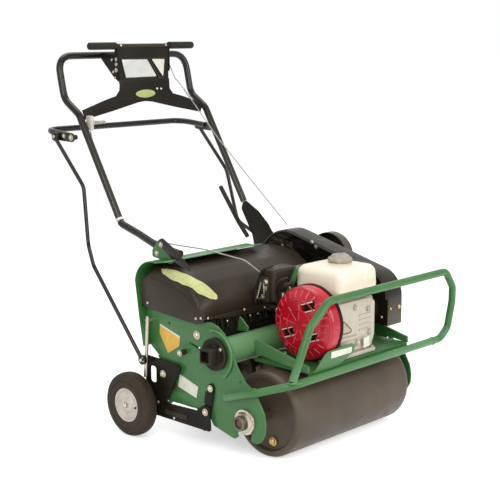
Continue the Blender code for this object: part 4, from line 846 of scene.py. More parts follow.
def hood_patches():
    drop = [(-0.321, 0.162), (-0.326, 0.205), (-0.315, 0.237), (-0.299, 0.291), (-0.277, 0.329),
            (-0.264, 0.356), (-0.271, 0.367), (-0.293, 0.361), (-0.321, 0.336), (-0.334, 0.280),
            (-0.335, 0.215), (-0.331, 0.172)]
    x_mid, along_mid = -0.308, 0.285
    inner = [((x - x_mid) * 0.80 + x_mid, (along - along_mid) * 0.88 + along_mid) for x, along in drop]
    for name, material, outline, lift in (("hood_patch", PALE, drop, 0.0012),
                                          ("hood_patch_face", PATCH, inner, 0.0020)):
        shape = bmesh.new()
        decal(shape, outline, (x_mid, along_mid), lift)
        piece(name, shape, material, angle=60)


# Drum and reel

def drum():
    half, recess = DRUM_HALF, DRUM_RECESS
    end = PLATE_OUT + 0.023
    outer = [(half - recess, 0.0125), (half - recess, 0.040), (half - recess - 0.002, 0.044),
             (half - recess - 0.002, 0.092), (half - recess, 0.097), (half - 0.001, 0.102),
             (half, 0.106), (half - 0.0008, 0.1125), (half - 0.004, 0.1170), (half - 0.010, 0.1195),
             (half - 0.016, DRUM_R), (half - 0.120, DRUM_R)]
    profile = [(end, 0.0), (end, 0.0112), (end - 0.001, 0.0125), *outer]
    profile += [(-x, radius) for x, radius in reversed(profile)]
    shape = bmesh.new()
    turned(shape, profile, (0, 0, DRUM_R), steps=128)
    skin("drum", shape, DRUM, "drum_body")


def drain_plug():
    place, out = math.radians(-75), 0.076
    y, z = -out * math.cos(place), DRUM_R + out * math.sin(place)
    face = -DRUM_HALF + DRUM_RECESS
    shape = bmesh.new()
    turned(shape, [(face, 0.013), (face - 0.0022, 0.013), (face - 0.0030, 0.0115)], (0, y, z), steps=32)
    turned(shape, [(face - 0.0022, 0.0100), (face - 0.0072, 0.0100), (face - 0.0084, 0.0086)],
           (0, y, z), steps=6)
    skin("drain_plug", shape, BRASS, "drum_body")


def drum_bearings():
    for side, name in SIDES:
        face = side * (PLATE_OUT + SKIN)
        shape = bmesh.new()
        profile = [(0, 0.0133), (0, 0.036), (0.004, 0.036), (0.0065, 0.0345), (0.0070, 0.029),
                   (0.0120, 0.0262), (0.0150, 0.0245), (0.0150, 0.0215), (0.0130, 0.0210),
                   (0.0130, 0.0133)]
        ring(shape, [(face + side * x, radius) for x, radius in profile], (0, 0, DRUM_R), steps=64)
        collar = bmesh.new()
        profile = [(0.0132, 0.0133), (0.0132, 0.0205), (0.0262, 0.0205), (0.0270, 0.0194),
                   (0.0270, 0.0133)]
        ring(collar, [(face + side * x, radius) for x, radius in profile], (0, 0, DRUM_R), steps=64)
        piece("drum_bearing_" + name + "_collar", collar, STEEL)
        for y, z in circle(0.0, DRUM_R, 0.0305, 3, 35):
            dome(shape, (face + side * 0.0066, y, z), (side, 0, 0), 0.0036)
        skin("drum_bearing_" + name, shape, ZINC)


# Wheels and their lift

def wheels():
    for side, name in SIDES:
        face = side * (PLATE_OUT + SKIN)
        shape = bmesh.new()
        link = capsule((LINK_TOP_Y, LINK_TOP_Z), (WHEEL_PIVOT_Y, WHEEL_PIVOT_Z), 0.013)
        sheet(shape, [link], to_x, face, side * (ARM_X - SKIN), 0.001)
        pin(shape, face + side * 0.002, side * (ARM_X + ARM_T + 0.001), 0.006,
            WHEEL_PIVOT_Y, WHEEL_PIVOT_Z)
        skin("pivot_link_" + name, shape, BLACK)
        shape = bmesh.new()
        bolt(shape, (side * (ARM_X - SKIN), LINK_TOP_Y, LINK_TOP_Z), (side, 0, 0), 0.0068)
        bolt(shape, (side * (ARM_X + ARM_T + SKIN), WHEEL_PIVOT_Y, WHEEL_PIVOT_Z), (side, 0, 0),
             0.0072)
        fittings("pivot_link_" + name + "_bolts", shape)
        wheel_arm(side, name)
        wheel(side, name)


def wheel_arm(side, name):
    beam = [(0.122, 0.064), (0.430, 0.064), (0.432, 0.110), (0.400, 0.126), (0.384, 0.140),
            (0.388, 0.236), (0.250, 0.231), (0.240, 0.221), (0.302, 0.109), (0.176, 0.114),
            (0.152, 0.134), (0.126, 0.134)]
    window = rounded([(0.340, 0.160), (0.366, 0.160), (0.366, 0.208), (0.340, 0.208)], 0.010, 5)
    inside, outside = side * ARM_X, side * (ARM_X + ARM_T)
    body = "arm_" + name
    shape = bmesh.new()
    sheet(shape, [rounded(beam, 0.008, 4), circle(WHEEL_PIVOT_Y, WHEEL_PIVOT_Z, 0.0068, 24), window],
          to_x, inside, outside, 0.0012)
    pin(shape, inside, side * (WHEEL_IN_X + WHEEL_W + 0.004), 0.0075, WHEEL_Y, WHEEL_R, 28)
    pin(shape, outside - side * 0.001, side * (WHEEL_IN_X + 0.0015), 0.0120, WHEEL_Y, WHEEL_R, 28)
    pin(shape, inside, side * (ROD_LOW_X + 0.008), 0.0045, ROD_LOW_Y, ROD_LOW_Z, 20)
    block(shape, (min(outside, outside + side * 0.0025), 0.212, 0.078),
          (max(outside, outside + side * 0.0025), 0.300, 0.092), 0.001)
    skin("wheel_arm_" + name, shape, BLACK, body)
    shape = bmesh.new()
    bolt(shape, (outside, 0.310, 0.193), (side, 0, 0), 0.0075)
    bolt(shape, (side * (ROD_LOW_X + 0.0055), ROD_LOW_Y, ROD_LOW_Z), (side, 0, 0), 0.0058, False)
    bolt(shape, (side * (WHEEL_IN_X + WHEEL_W - 0.0030), WHEEL_Y, WHEEL_R), (side, 0, 0), 0.0085)
    dome(shape, (outside, 0.333, 0.105), (side, 0, 0), 0.0050)
    dome(shape, (outside, 0.267, 0.072), (side, 0, 0), 0.0042)
    fittings("wheel_arm_" + name + "_bolts", shape, body)


def wheel(side, name):
    inner, outer = WHEEL_IN_X, WHEEL_IN_X + WHEEL_W
    centre = (0, WHEEL_Y, WHEEL_R)
    half = [(0.0020, 0.0500), (0.0006, 0.0530), (0.0000, 0.0600), (0.0004, 0.0670),
            (0.0014, 0.0672), (0.0016, 0.0705), (0.0006, 0.0708), (0.0010, 0.0780),
            (0.0034, 0.0855), (0.0080, 0.0902), (0.0140, 0.0922), (0.0200, WHEEL_R)]
    profile = [(outer - x, radius) for x, radius in half]
    profile += [(inner + x, radius) for x, radius in reversed(half)]
    shape = bmesh.new()
    ring(shape, [(side * x, radius) for x, radius in profile], centre, steps=96)
    skin("tyre_" + name, shape, TYRE, "wheel_" + name, angle=50)
    face = [(outer - 0.0020, 0.0083), (outer - 0.0020, 0.0170), (outer - 0.0034, 0.0190),
            (outer - 0.0105, 0.0235), (outer - 0.0125, 0.0300), (outer - 0.0115, 0.0370),
            (outer - 0.0060, 0.0425), (outer - 0.0028, 0.0440), (outer - 0.0020, 0.0465),
            (outer - 0.0024, 0.0490), (outer - 0.0040, 0.0496)]
    back = [(inner + 0.0040, 0.0496), (inner + 0.0024, 0.0480), (inner + 0.0120, 0.0430),
            (inner + 0.0160, 0.0300), (inner + 0.0030, 0.0190), (inner + 0.0020, 0.0083)]
    shape = bmesh.new()
    ring(shape, [(side * x, radius) for x, radius in face + back], centre, steps=72)
    skin("rim_" + name, shape, RIM, "wheel_" + name, angle=40)
    shape = bmesh.new()
    for y, z in circle(WHEEL_Y, WHEEL_R, 0.030, 5):
        dome(shape, (side * (outer - 0.0124), y, z), (side, 0, 0), 0.0036)
    fittings("rim_" + name + "_rivets", shape, "wheel_" + name)
    shape = bmesh.new()
    spot = (side * (outer - 0.0095), WHEEL_Y - 0.0405, WHEEL_R)
    pipe(shape, [spot, (side * (outer + 0.0005), WHEEL_Y - 0.0395, WHEEL_R)], 0.0028, 12)
    piece("tyre_" + name + "_valve", shape, RUBBER, "wheel_" + name, ())


def bail():
    back = BAIL_PIVOT_Y + 0.140
    root_y, root_z = BAIL_PIVOT_Y + 0.020, BAIL_PIVOT_Z + 0.004
    grip_z = BAIL_PIVOT_Z + 0.014
    path = [(-BAIL_HALF, root_y, root_z), (-BAIL_HALF, back, grip_z),
            (BAIL_HALF, back, grip_z), (BAIL_HALF, root_y, root_z)]
    shape = bmesh.new()
    pipe(shape, rounded(path, 0.05, 8, closed=False), BAIL_R, 22)
    metal = bmesh.new()
    for side in (-1, 1):
        x = side * (BAIL_HALF + BAIL_R * 0.55)
        plate = capsule((BAIL_PIVOT_Y, BAIL_PIVOT_Z), (ROD_TOP_Y, BAIL_PIVOT_Z), 0.014, 0.012)
        sheet(shape, [plate], to_x, x, x + side * 0.004, 0.001)
        inner = side * (HANDLE_HALF + HANDLE_R + SKIN)
        pin(shape, inner, x + side * 0.002, 0.008, BAIL_PIVOT_Y, BAIL_PIVOT_Z)
        pin(shape, x + side * 0.002, x + side * 0.018, 0.0045, ROD_TOP_Y, BAIL_PIVOT_Z, 20)
        bolt(metal, (x + side * 0.004, BAIL_PIVOT_Y, BAIL_PIVOT_Z), (side, 0, 0), 0.0068)
        bolt(metal, (x + side * 0.004, 0.789, 0.836), (side, 0, 0), 0.0050)
        bolt(metal, (side * (ROD_TOP_X + 0.0052), ROD_TOP_Y, BAIL_PIVOT_Z), (side, 0, 0), 0.0058,
             False)
    skin("lift_bail", shape, TUBE, "bail")
    fittings("lift_bail_bolts", metal, "bail")


def rods():
    for side, name in SIDES:
        x = side * ROD_TOP_X
        path = [(x, ROD_TOP_Y - 0.004, BAIL_PIVOT_Z - 0.010), (x, 0.690, 0.690),
                (x + side * 0.016, 0.655, 0.520), (side * ROD_LOW_X, 0.590, 0.470),
                (side * ROD_LOW_X, ROD_LOW_Y + 0.010, ROD_LOW_Z + 0.009)]
        shape = bmesh.new()
        pipe(shape, rounded(path, 0.05, 8, closed=False), 0.006, 18)
        for cx, y, z, bore in ((x, ROD_TOP_Y, BAIL_PIVOT_Z, 0.0053),
                               (side * ROD_LOW_X, ROD_LOW_Y, ROD_LOW_Z, 0.0085)):
            sheet(shape, [circle(y, z, 0.014, 36), circle(y, z, bore, 24)], to_x,
                  cx - 0.005, cx + 0.005, 0.0012)
        skin("lift_rod_" + name, shape, TUBE, "rod_" + name)


# Handle

def handle():
    half = HANDLE_HALF
    side = [(half, 0.572, 0.598), (half, 0.751, 0.9005), (half, 0.820, 0.944),
            (half, 0.850, 1.074)]
    path = side + [(-x, y, z) for x, y, z in reversed(side)]
    shape = bmesh.new()
    pipe(shape, rounded(path, 0.055, 9, closed=False), HANDLE_R, 24)
    skin("handle_tube", shape, TUBE)
    near = [(-half, 0.5695, 0.5922), (-half - 0.001, 0.558, 0.586), (-half - 0.006, 0.483, 0.568),
            (-half - 0.018, 0.400, 0.548), (-half - 0.018, 0.330, 0.5375),
            (-half - 0.018, 0.290, 0.5335)]
    shape = bmesh.new()
    pipe(shape, rounded(near, 0.04, 6, closed=False), HANDLE_R, 24)
    skin("handle_lower_right", shape, TUBE)
    far = [(half, 0.5695, 0.5922), (half, 0.545, 0.578), (half, 0.491, 0.535),
           (half, 0.446, 0.496)]
    shape = bmesh.new()
    pipe(shape, rounded(far, 0.04, 6, closed=False), HANDLE_R, 24)
    skin("handle_lower_left", shape, TUBE)


def far_gusset():
    plate = [(0.548, 0.604), (0.532, 0.606), (0.480, 0.578), (0.438, 0.542), (0.412, 0.507),
             (0.394, 0.484), (0.403, 0.440), (0.399, 0.395), (0.425, 0.395), (0.455, 0.425),
             (0.494, 0.446), (0.507, 0.500), (0.556, 0.580)]
    shape = bmesh.new()
    sheet(shape, [rounded(plate, 0.012, 5)], to_x, 0.2364, 0.2404, 0.0010)
    stub = [(0.2300, y, z) for y, z in ((0.6448, 0.6455), (0.5603, 0.5344), (0.5198, 0.4910))]
    pipe(shape, stub, 0.0072, 18, 0.35)
    skin("handle_gusset_left", shape, BLACK)


def handle_ring():
    shape = bmesh.new()
    turned(shape, [(-0.0036, HANDLE_R + 0.0007), (0.0036, HANDLE_R + 0.0007)],
           (-HANDLE_HALF, 0.5730, 0.5998), (0, 0.5095, 0.8605), 32)
    piece("handle_ring", shape, LABEL)


def wing_panel():
    inner = HANDLE_HALF - HANDLE_R - SKIN
    right = [(inner, 0.913), (0.165, 0.940), (0.120, 0.951), (0.106, 0.968), (0.104, 1.000)]
    low = [(0.245, 0.884), (0.129, 0.906), (0.030, 0.927), (0.0, 0.930)]
    loop = right + [(-x, z) for x, z in reversed(right)]
    loop += [(-x, z) for x, z in low] + [(x, z) for x, z in reversed(low[:-1])]
    shape = bmesh.new()
    sheet(shape, [loop], to_y, HEAD_Y, HEAD_Y + PANEL_T, 0.0008)
    skin("wing_panel", shape, BLACK)
    shape = bmesh.new()
    oval = [(0.001 + 0.041 * math.cos(a), 0.954 + 0.0125 * math.sin(a))
            for a in [math.tau * i / 48 for i in range(48)]]
    sheet(shape, [oval], to_y, HEAD_Y - 0.0012, HEAD_Y, 0.0005)
    piece("oval_plate", shape, BADGE)


def control_panel():
    back, edge_x = PANEL_FACE, PANEL_HALF
    plate = [(edge_x, 0.985), (edge_x, 1.0965), (-edge_x, 1.0965), (-edge_x, 0.985)]
    shape = bmesh.new()
    sheet(shape, [rounded(plate, 0.004, 3)], to_y, back, back + PANEL_T, 0.0008)
    ear = rounded([(back, 0.990), (back, 1.064), (back + 0.020, 1.078), (0.8386, 1.084),
                   (0.8386, 1.062), (back + 0.030, 1.010)], 0.006, 4)
    hole = circle(DRIVE_Y, DRIVE_PIVOT_Z, 0.0043, 20)
    for side in (-1, 1):
        sheet(shape, [ear, hole], to_x, side * edge_x, side * (edge_x - PANEL_T), 0.0008)
    skin("control_panel", shape, BLACK)


def control_panes():
    """The panel's window and pale corner, and the thin rim round both."""
    pane = [(-0.094, 1.062), (0.012, 1.061), (0.052, 1.007), (-0.077, 1.006)]
    corner = [(0.031, 1.062), (0.080, 1.005), (0.086, 1.061)]
    for name, material, outline in (("pane", PANE, pane), ("corner", LABEL, corner)):
        patch("control_panel_" + name, material, outline, 0.003, to_y, PANEL_FACE - 0.0010,
              PANEL_FACE - 0.0002)
    shape = bmesh.new()
    rim_y = PANEL_FACE - 0.0012
    for start, end, radius in (((-0.097, 1.065), (0.088, 1.064), 0.0018),
                               ((0.0165, 1.064), (0.062, 1.003), 0.0022),
                               ((-0.097, 1.065), (-0.079, 1.003), 0.0018),
                               ((-0.079, 1.003), (0.084, 1.002), 0.0018)):
        pipe(shape, [(x, rim_y, z) for x, z in (start, end)], radius, 8)
    piece("control_panel_rim", shape, BLACK)


def panel_screws():
    shape = bmesh.new()
    for x, z in ((0.051, 0.968), (0.068, 0.967)):
        dome(shape, (x, HEAD_Y, z), (0, -1, 0), 0.0042)
    for x in (-0.098, 0.098):
        dome(shape, (x, PANEL_FACE, 0.992), (0, -1, 0), 0.0036)
    for y, z in ((0.7815, 1.0238), (0.7745, 1.0055), (0.7880, 1.0610)):
        dome(shape, (-PANEL_HALF, y, z), (-1, 0, 0), 0.0042)
    fittings("panel_screws", shape)


LEVER_IN = 0.1052              # the drive bar's two levers
LEVER_OUT = 0.1092


def drive_bar():
    shape = bmesh.new()
    pin(shape, -0.213, 0.213, 0.0065, DRIVE_Y, GRIP_TOP_Z)
    for side in (-1, 1):
        ends = capsule((DRIVE_Y, DRIVE_PIVOT_Z), (DRIVE_Y, GRIP_TOP_Z), 0.009, 0.008)
        sheet(shape, [ends], to_x, side * LEVER_IN, side * LEVER_OUT, 0.0008)
        pin(shape, side * 0.0990, side * 0.1082, 0.0035, DRIVE_Y, DRIVE_PIVOT_Z, 20)
    block(shape, (-LEVER_IN - 0.001, DRIVE_Y - 0.002, GRIP_TOP_Z - 0.012),
          (LEVER_IN + 0.001, DRIVE_Y + 0.001, GRIP_TOP_Z - 0.002), 0.0006)
    skin("drive_bar", shape, BLACK, "drive_lever")


def drive_grips():
    shape = bmesh.new()
    for side in (-1, 1):
        rings = [(0.112, 0.0102), (0.1124, 0.0115), (0.116, 0.0115)]
        x = 0.118
        while x < 0.205:
            rings += [(x, 0.0108), (x + 0.0012, 0.0114), (x + 0.0036, 0.0114), (x + 0.0048, 0.0108)]
            x += 0.0056
        rings += [(0.2135, 0.0113), (0.2160, 0.0098), (0.2170, 0.0070), (0.2170, 0.0)]
        turned(shape, [(side * x, radius) for x, radius in rings], (0, DRIVE_Y, GRIP_TOP_Z), steps=32)
    piece("drive_bar_grips", shape, RUBBER, "drive_lever", (), 60)


def drive_bolts():
    shape = bmesh.new()
    for side in (-1, 1):
        bolt(shape, (side * LEVER_OUT, DRIVE_Y, DRIVE_PIVOT_Z), (side, 0, 0), 0.0048)
        dome(shape, (side * 0.094, DRIVE_Y - 0.0068, GRIP_TOP_Z + 0.001), (0, -1, 0.1), 0.0036)
        for z in (1.063, 1.048):
            bolt(shape, (side * LEVER_OUT, DRIVE_Y, z), (side, 0, 0), 0.0040)
    fittings("drive_bar_bolts", shape, "drive_lever")


def throttle():
    x = -HANDLE_HALF + HANDLE_R + SKIN
    y, z = 0.722, 0.876
    shape = bmesh.new()
    block(shape, (x, y - 0.012, z - 0.022), (x + 0.012, y + 0.012, z + 0.022), 0.0025, 3)
    for i in range(4):
        low = z - 0.014 + i * 0.008
        block(shape, (x + 0.001, y - 0.0130, low), (x + 0.011, y - 0.0115, low + 0.0035), 0.0006)
    skin("throttle_housing", shape, RIM)
    start = x + 0.012 + SKIN
    shape = bmesh.new()
    sheet(shape, [capsule((start + 0.008, z), (start + 0.030, z), 0.007, 0.0045)], to_y,
          y - 0.0012, y + 0.0012, 0.0006)
    sheet(shape, [capsule((start + 0.026, z), (start + 0.050, z), 0.0052, 0.0048)], to_y,
          y - 0.0020, y + 0.0020, 0.0014)
    skin("throttle_lever", shape, CAP, "throttle")
    shape = bmesh.new()
    dome(shape, (start + 0.008, y - 0.0020, z), (0, -1, 0), 0.0034)
    fittings("throttle_bolt", shape, "throttle")


def cables():
    far = [(0.120, 0.766, 1.044), (0.136, 0.758, 1.000), (0.166, 0.752, 0.968), (0.178, 0.608, 0.815),
           (0.187, 0.470, 0.690), (0.195, 0.330, 0.568), (0.195, 0.318, 0.5555)]
    shape = bmesh.new()
    pipe(shape, rounded(far, 0.03, 8, closed=False), 0.0017, 12)
    start, end = Vector(far[2]), Vector(far[3])
    way = (end - start).normalized()
    sleeve_r = 0.0028
    for along, length in ((0.012, 0.030), (0.046, 0.004)):
        turned(shape, [(0, sleeve_r), (length, sleeve_r)], start + way * along, way, 16)
    skin("drive_cable", shape, SHEATH)
    x = -HANDLE_HALF + HANDLE_R + 0.006
    near = [(x, 0.720, 0.8525), (x, 0.712, 0.820), (x, 0.640, 0.690), (x, 0.566, 0.580),
            (x + 0.020, 0.470, 0.545), (-0.200, 0.400, 0.535), (-0.180, 0.300, 0.532),
            (-0.120, 0.200, 0.505), (-0.075, 0.146, 0.450), (-0.072, 0.1445, 0.384)]
    shape = bmesh.new()
    pipe(shape, rounded(near, 0.05, 6, closed=False), 0.0020, 12)
    skin("throttle_cable", shape, SHEATH)


# Engine

RECOIL_WINDOWS = (
    # centre Y and Z, width, height, lean in degrees
    (-0.0610, 0.4140, 0.044, 0.028, -20.0),
    (0.0080, 0.3330, 0.044, 0.028, -20.0),
    (-0.0830, 0.3330, 0.034, 0.022, -20.0),
)


def recoil():
    centre = (0, CRANK_Y, CRANK_Z)
    profile = [(-0.088, 0.0), (-0.088, RECOIL_R), (-0.094, RECOIL_R), (-0.120, RECOIL_R),
               (-0.1250, 0.1032), (-0.1290, 0.1010), (-0.1330, 0.0970), (-0.1400, 0.0850),
               (-0.1440, 0.0770), (-0.1465, 0.0725), (-0.1478, 0.0680), (-0.1482, 0.0610),
               (-0.1482, 0.0440), (-0.1500, 0.0420), (-0.1500, 0.0)]
    shape = bmesh.new()
    turned(shape, profile, centre, steps=120)
    cover = skin("recoil_cover", shape, RED, angle=40)
    windows = bmesh.new()
    for spot in RECOIL_WINDOWS:
        window_block(windows, spot, 0.0, -0.156, -0.136)
    cut(cover, windows)


def recoil_point(angle, x, radius):
    """A point round the crank's axis."""
    return Vector((x, CRANK_Y + radius * math.cos(angle), CRANK_Z + radius * math.sin(angle)))


def recoil_ribs():
    shape = bmesh.new()
    rim_ribs, face_ribs = 26, 9
    for i in range(rim_ribs):
        angle = math.tau * (i + 0.5) / rim_ribs
        root, tip = recoil_point(angle, -0.1435, 0.0765), recoil_point(angle, -0.1325, 0.0955)
        pipe(shape, [root, root.lerp(tip, 0.5) + Vector((-0.0008, 0, 0)), tip], 0.0026, 10, 0.5)
    for i in range(face_ribs):
        angle = math.tau * (i + 0.25) / face_ribs
        root, tip = recoil_point(angle, -0.1482, 0.012), recoil_point(angle, -0.1480, 0.059)
        if min(math.dist((tip.y, tip.z), spot[:2]) for spot in RECOIL_WINDOWS) > 0.030:
            pipe(shape, [root, tip], 0.0024, 10, 0.6)
    for radius, x in ((0.0425, -0.1490), (0.0690, -0.1474), (0.0985, -0.1310)):
        round_bead(shape, (x, CRANK_Y, CRANK_Z), radius, (1, 0, 0), 0.0020)
    piece("recoil_cover_ribs", shape, RED)


def recoil_windows():
    """The band behind the cover and the windows' backs, both painted near-black as shade, and the
    windows' pale bars.
    """
    shape = bmesh.new()
    # Painted shade: the dark band stands for the shadow behind the cover's rim.
    band = [(-0.0860, 0.0985), (-0.0860, 0.1062), (-0.0950, 0.1062), (-0.0950, 0.0985)]
    ring(shape, band, (0, CRANK_Y, CRANK_Z), steps=96)
    piece("recoil_shade_band", shape, SHADE_BLACK)
    shape = bmesh.new()
    # Painted shade: dark blocks behind the windows stand for the shade inside them.
    for spot in RECOIL_WINDOWS:
        window_block(shape, spot, -0.0006, -0.1385, -0.137)
    piece("recoil_window_shade", shape, SHADE_BLACK)
    shape = bmesh.new()
    for y, z, wide, high, lean in RECOIL_WINDOWS:
        turn = Matrix.Rotation(math.radians(lean), 4, "X")
        for shift in (0.38, -0.42):
            ends = []
            for k in (-0.5, 0.5):
                local = turn @ Vector((0, wide * k * 0.94, high * shift))
                ends.append((-0.1472, y + local.y, z + local.z))
            pipe(shape, ends, 0.0016, 8)
    piece("recoil_window_bars", shape, LABEL)


def recoil_bolts():
    shape = bmesh.new()
    for y, z in circle(CRANK_Y, CRANK_Z, 0.09648, 4, 45):
        bolt(shape, (-0.1195, y, z), (-1, 0, 0), 0.0042)
    fittings("recoil_bolts", shape)


def window_block(shape, spot, grow, x_low, x_high):
    y, z, wide, high, lean = spot
    corners = [(-wide / 2, -high / 2), (wide / 2, -high / 2), (wide / 2, high / 2),
               (-wide / 2, high / 2)]
    turn = math.radians(lean)
    loop = []
    for a, b in rounded(corners, 0.006, 4):
        a, b = a * (1 + grow), b * (1 + grow)
        loop.append((y + a * math.cos(turn) - b * math.sin(turn),
                     z + a * math.sin(turn) + b * math.cos(turn)))
    sheet(shape, [loop], to_x, x_low, x_high, 0.0003, 1)


CASE_BOSSES = (
    # X and Z
    (-0.060, 0.386), (0.010, 0.392), (0.070, 0.380), (0.076, 0.312), (-0.050, 0.296), (0.020, 0.290),
)


def crankcase():
    base = DECK_TOP + SKIN
    near, far, front, back, top = CASE_NEAR, CASE_FAR, CASE_FRONT, 0.050, 0.416
    shape = bmesh.new()
    block(shape, (near, front + 0.004, base), (far, back, top), 0.012, 4)
    block(shape, (near + 0.012, front - 0.012, base), (far - 0.010, back + 0.014, base + 0.012),
          0.003)
    turned(shape, [(far - 0.02, 0.034), (far + 0.012, 0.034), (far + 0.018, 0.028),
                   (far + 0.018, 0.0108), (far - 0.02, 0.0108)], (0, CRANK_Y, CRANK_Z), steps=48)
    cover = rounded([(near + 0.006, 0.268), (far - 0.020, 0.268), (far - 0.004, 0.300),
                     (far - 0.004, 0.398), (far - 0.030, 0.412), (near + 0.010, 0.412),
                     (near + 0.004, 0.330)], 0.012, 5)
    sheet(shape, [cover], to_y, front - 0.002, front + 0.008, 0.0025, 3)
    for x, z in CASE_BOSSES:
        turned(shape, [(0, 0.0085), (0.007, 0.0078), (0.008, 0.0068)], (x, front - 0.001, z),
               (0, -1, 0), 24)
    for i in range(4):
        low = 0.322 + i * 0.014
        block(shape, (0.030, front - 0.0050, low), (0.078, front + 0.001, low + 0.004), 0.0012)
    block(shape, (-0.064, front - 0.0085, 0.303), (0.022, front, 0.314), 0.003, 3)
    skin("crankcase", shape, CASTING)


def crankcase_details():
    """Bolts, the stop wire and a bare tag."""
    front = CASE_FRONT
    shape = bmesh.new()
    for x, z in CASE_BOSSES:
        bolt(shape, (x, front - 0.0085, z), (0, -1, 0), 0.0044, False)
    for x in (CASE_NEAR + 0.020, CASE_FAR - 0.020):
        bolt(shape, (x, front - 0.006, DECK_TOP + SKIN + 0.012), (0, 0, 1), 0.0052)
    fittings("crankcase_bolts", shape)
    shape = bmesh.new()
    wire = [(-0.062, front - 0.006, 0.372), (-0.040, front - 0.0075, 0.358),
            (-0.012, front - 0.0080, 0.334), (-0.014, front - 0.0075, 0.327),
            (-0.036, front - 0.0070, 0.326), (-0.062, front - 0.006, 0.330)]
    pipe(shape, rounded(wire, 0.008, 6, closed=False), 0.0011, 10)
    piece("stop_wire", shape, RUBBER)
    tag = [(0.040, 0.272), (0.066, 0.274), (0.064, 0.303), (0.038, 0.301)]
    patch("engine_tag", LABEL, tag, 0.002, to_y, front - 0.0125, front - 0.0115)


def cylinder():
    shape = bmesh.new()
    block(shape, (-0.040, 0.050 + SKIN, 0.330), (0.050, 0.118, 0.388), 0.004)
    fin = rounded([(-0.052, 0.052), (0.062, 0.052), (0.062, 0.128), (-0.052, 0.128)], 0.012, 5)
    for i in range(7):
        low = 0.3300 + i * 0.0083
        sheet(shape, [fin], to_z, low, low + 0.0028, 0.0008, 1)
    skin("cylinder_head", shape, CASTING)


TANK_TOP = 0.505
CAP_PLACE = (0.047, -0.014)


def tank():
    near, far, front, back, low, top = -0.066, 0.112, -0.110, 0.066, 0.424, TANK_TOP
    shape = bmesh.new()
    block(shape, (near + 0.001, front + 0.001, low + 0.003), (far - 0.001, back - 0.001, top), 0.024, 7,
          0.004)
    flange = rounded([(near, front), (far, front), (far, back), (near, back)], 0.024, 6)
    sheet(shape, [flange], to_z, low, low + 0.0045, 0.0016)
    turned(shape, [(top - 0.006, 0.044), (top - 0.0022, 0.043), (top - 0.0006, 0.039),
                   (top + 0.0002, 0.035), (top + 0.0002, 0.0)], (*CAP_PLACE, 0), (0, 0, 1), 56)
    skin("fuel_tank", shape, CREAM, angle=45)


def fuel_cap():
    shape = bmesh.new()
    cap = CAP_PLACE
    start = TANK_TOP + SKIN
    turned(shape, [(start, 0.0), (start, 0.0330), (start + 0.003, 0.0355), (start + 0.009, 0.0360),
                   (start + 0.012, 0.0345), (start + 0.0140, 0.0300)], (*cap, 0), (0, 0, 1), 120,
           lobes=8, depth=0.0030)
    turned(shape, [(start + 0.012, 0.0290), (start + 0.0200, 0.0255), (start + 0.0215, 0.0235),
                   (start + 0.0215, 0.0)], (*cap, 0), (0, 0, 1), 8)
    block(shape, (cap[0] - 0.0225, cap[1] - 0.0045, start + 0.020),
          (cap[0] + 0.0225, cap[1] + 0.0045, start + 0.024), 0.0014)
    skin("fuel_cap", shape, CAP, "cap", angle=40)


def air_cleaner():
    shape = bmesh.new()
    block(shape, (-0.122, 0.084, 0.396), (-0.022, 0.141, 0.492), 0.010, 4)
    for i in range(5):
        low = 0.410 + i * 0.015
        block(shape, (-0.1222, 0.094, low), (-0.1205, 0.132, low + 0.005), 0.0006)
    skin("air_cleaner", shape, HOOD)


def muffler():
    shape = bmesh.new()
    block(shape, (0.004, 0.084, 0.396), (0.096, 0.141, 0.480), 0.016, 5)
    for i in range(7):
        x = 0.020 + i * 0.010
        block(shape, (x, 0.1395, 0.412), (x + 0.004, 0.1418, 0.464), 0.0010)
    skin("muffler", shape, STEEL)


def choke_lever():
    shape = bmesh.new()
    y, z = 0.104, 0.380
    sheet(shape, [capsule((y, z), (y + 0.030, z + 0.004), 0.006, 0.004)], to_x, -0.1035, -0.1005,
          0.0008)
    skin("choke_lever", shape, HOOD, "choke")


def starter_grip():
    """The starter's grip, and its rope, which stays hidden in the cover until it is pulled."""
    grip = Vector((-0.110, CRANK_Y + RECOIL_R * 0.70, CRANK_Z + RECOIL_R * 0.93))
    half = [(0.017, 0.0), (0.017, 0.0050), (0.0150, 0.0068), (0.0060, 0.0062)]
    shape = bmesh.new()
    turned(shape, [(-along, radius) for along, radius in half] + half[::-1], grip, steps=28)
    skin("recoil_grip", shape, RUBBER, "starter_grip")
    pull = Vector((0, 0.5, 0.8660254))
    inside, held = grip - pull * 0.030, grip - pull * 0.004
    shape = bmesh.new()
    pipe(shape, [inside.lerp(held, i / 16) for i in range(17)], 0.0016, 10)
    piece("starter_rope", shape, SHEATH, ("frame", "starter_grip", inside, held))


def guard_outline(inset=0.0):
    """The belt guard in Y and Z: round behind, flat in front with a square lower corner."""
    nose_y, nose_z, chin, front_r = -0.101, 0.390, 0.311, 0.080
    rear_y, rear_z, rear_r = JACK_Y - 0.010, JACK_Z + 0.006, 0.112
    front_y = nose_y + front_r
    climb = math.atan2(rear_z - nose_z, rear_y - front_y)
    reach = math.hypot(rear_z - nose_z, rear_y - front_y)
    top = 90 + math.degrees(climb + math.asin((rear_r - front_r) / reach))
    return [(nose_y + inset, chin + inset), *arc(rear_y, rear_z, rear_r - inset, -90, top, 30),
            *arc(front_y, nose_z, front_r - inset, top, 180, 16)]


def guard_window(grow=0.0):
    """The outline of the window over the jackshaft."""
    return capsule((JACK_Y - 0.010, JACK_Z + 0.020), (JACK_Y - 0.085, JACK_Z - 0.004), 0.050 + grow,
                   0.024 + grow)


def cut_for_tube(item):
    """Cuts a guard's wall open where the cross tube passes through it."""
    shape = bmesh.new()
    pin(shape, GUARD_IN - 0.01, GUARD_OUT + 0.01, TUBE_R + 0.002, TUBE_Y, TUBE_Z, 48)
    cut(item, shape)


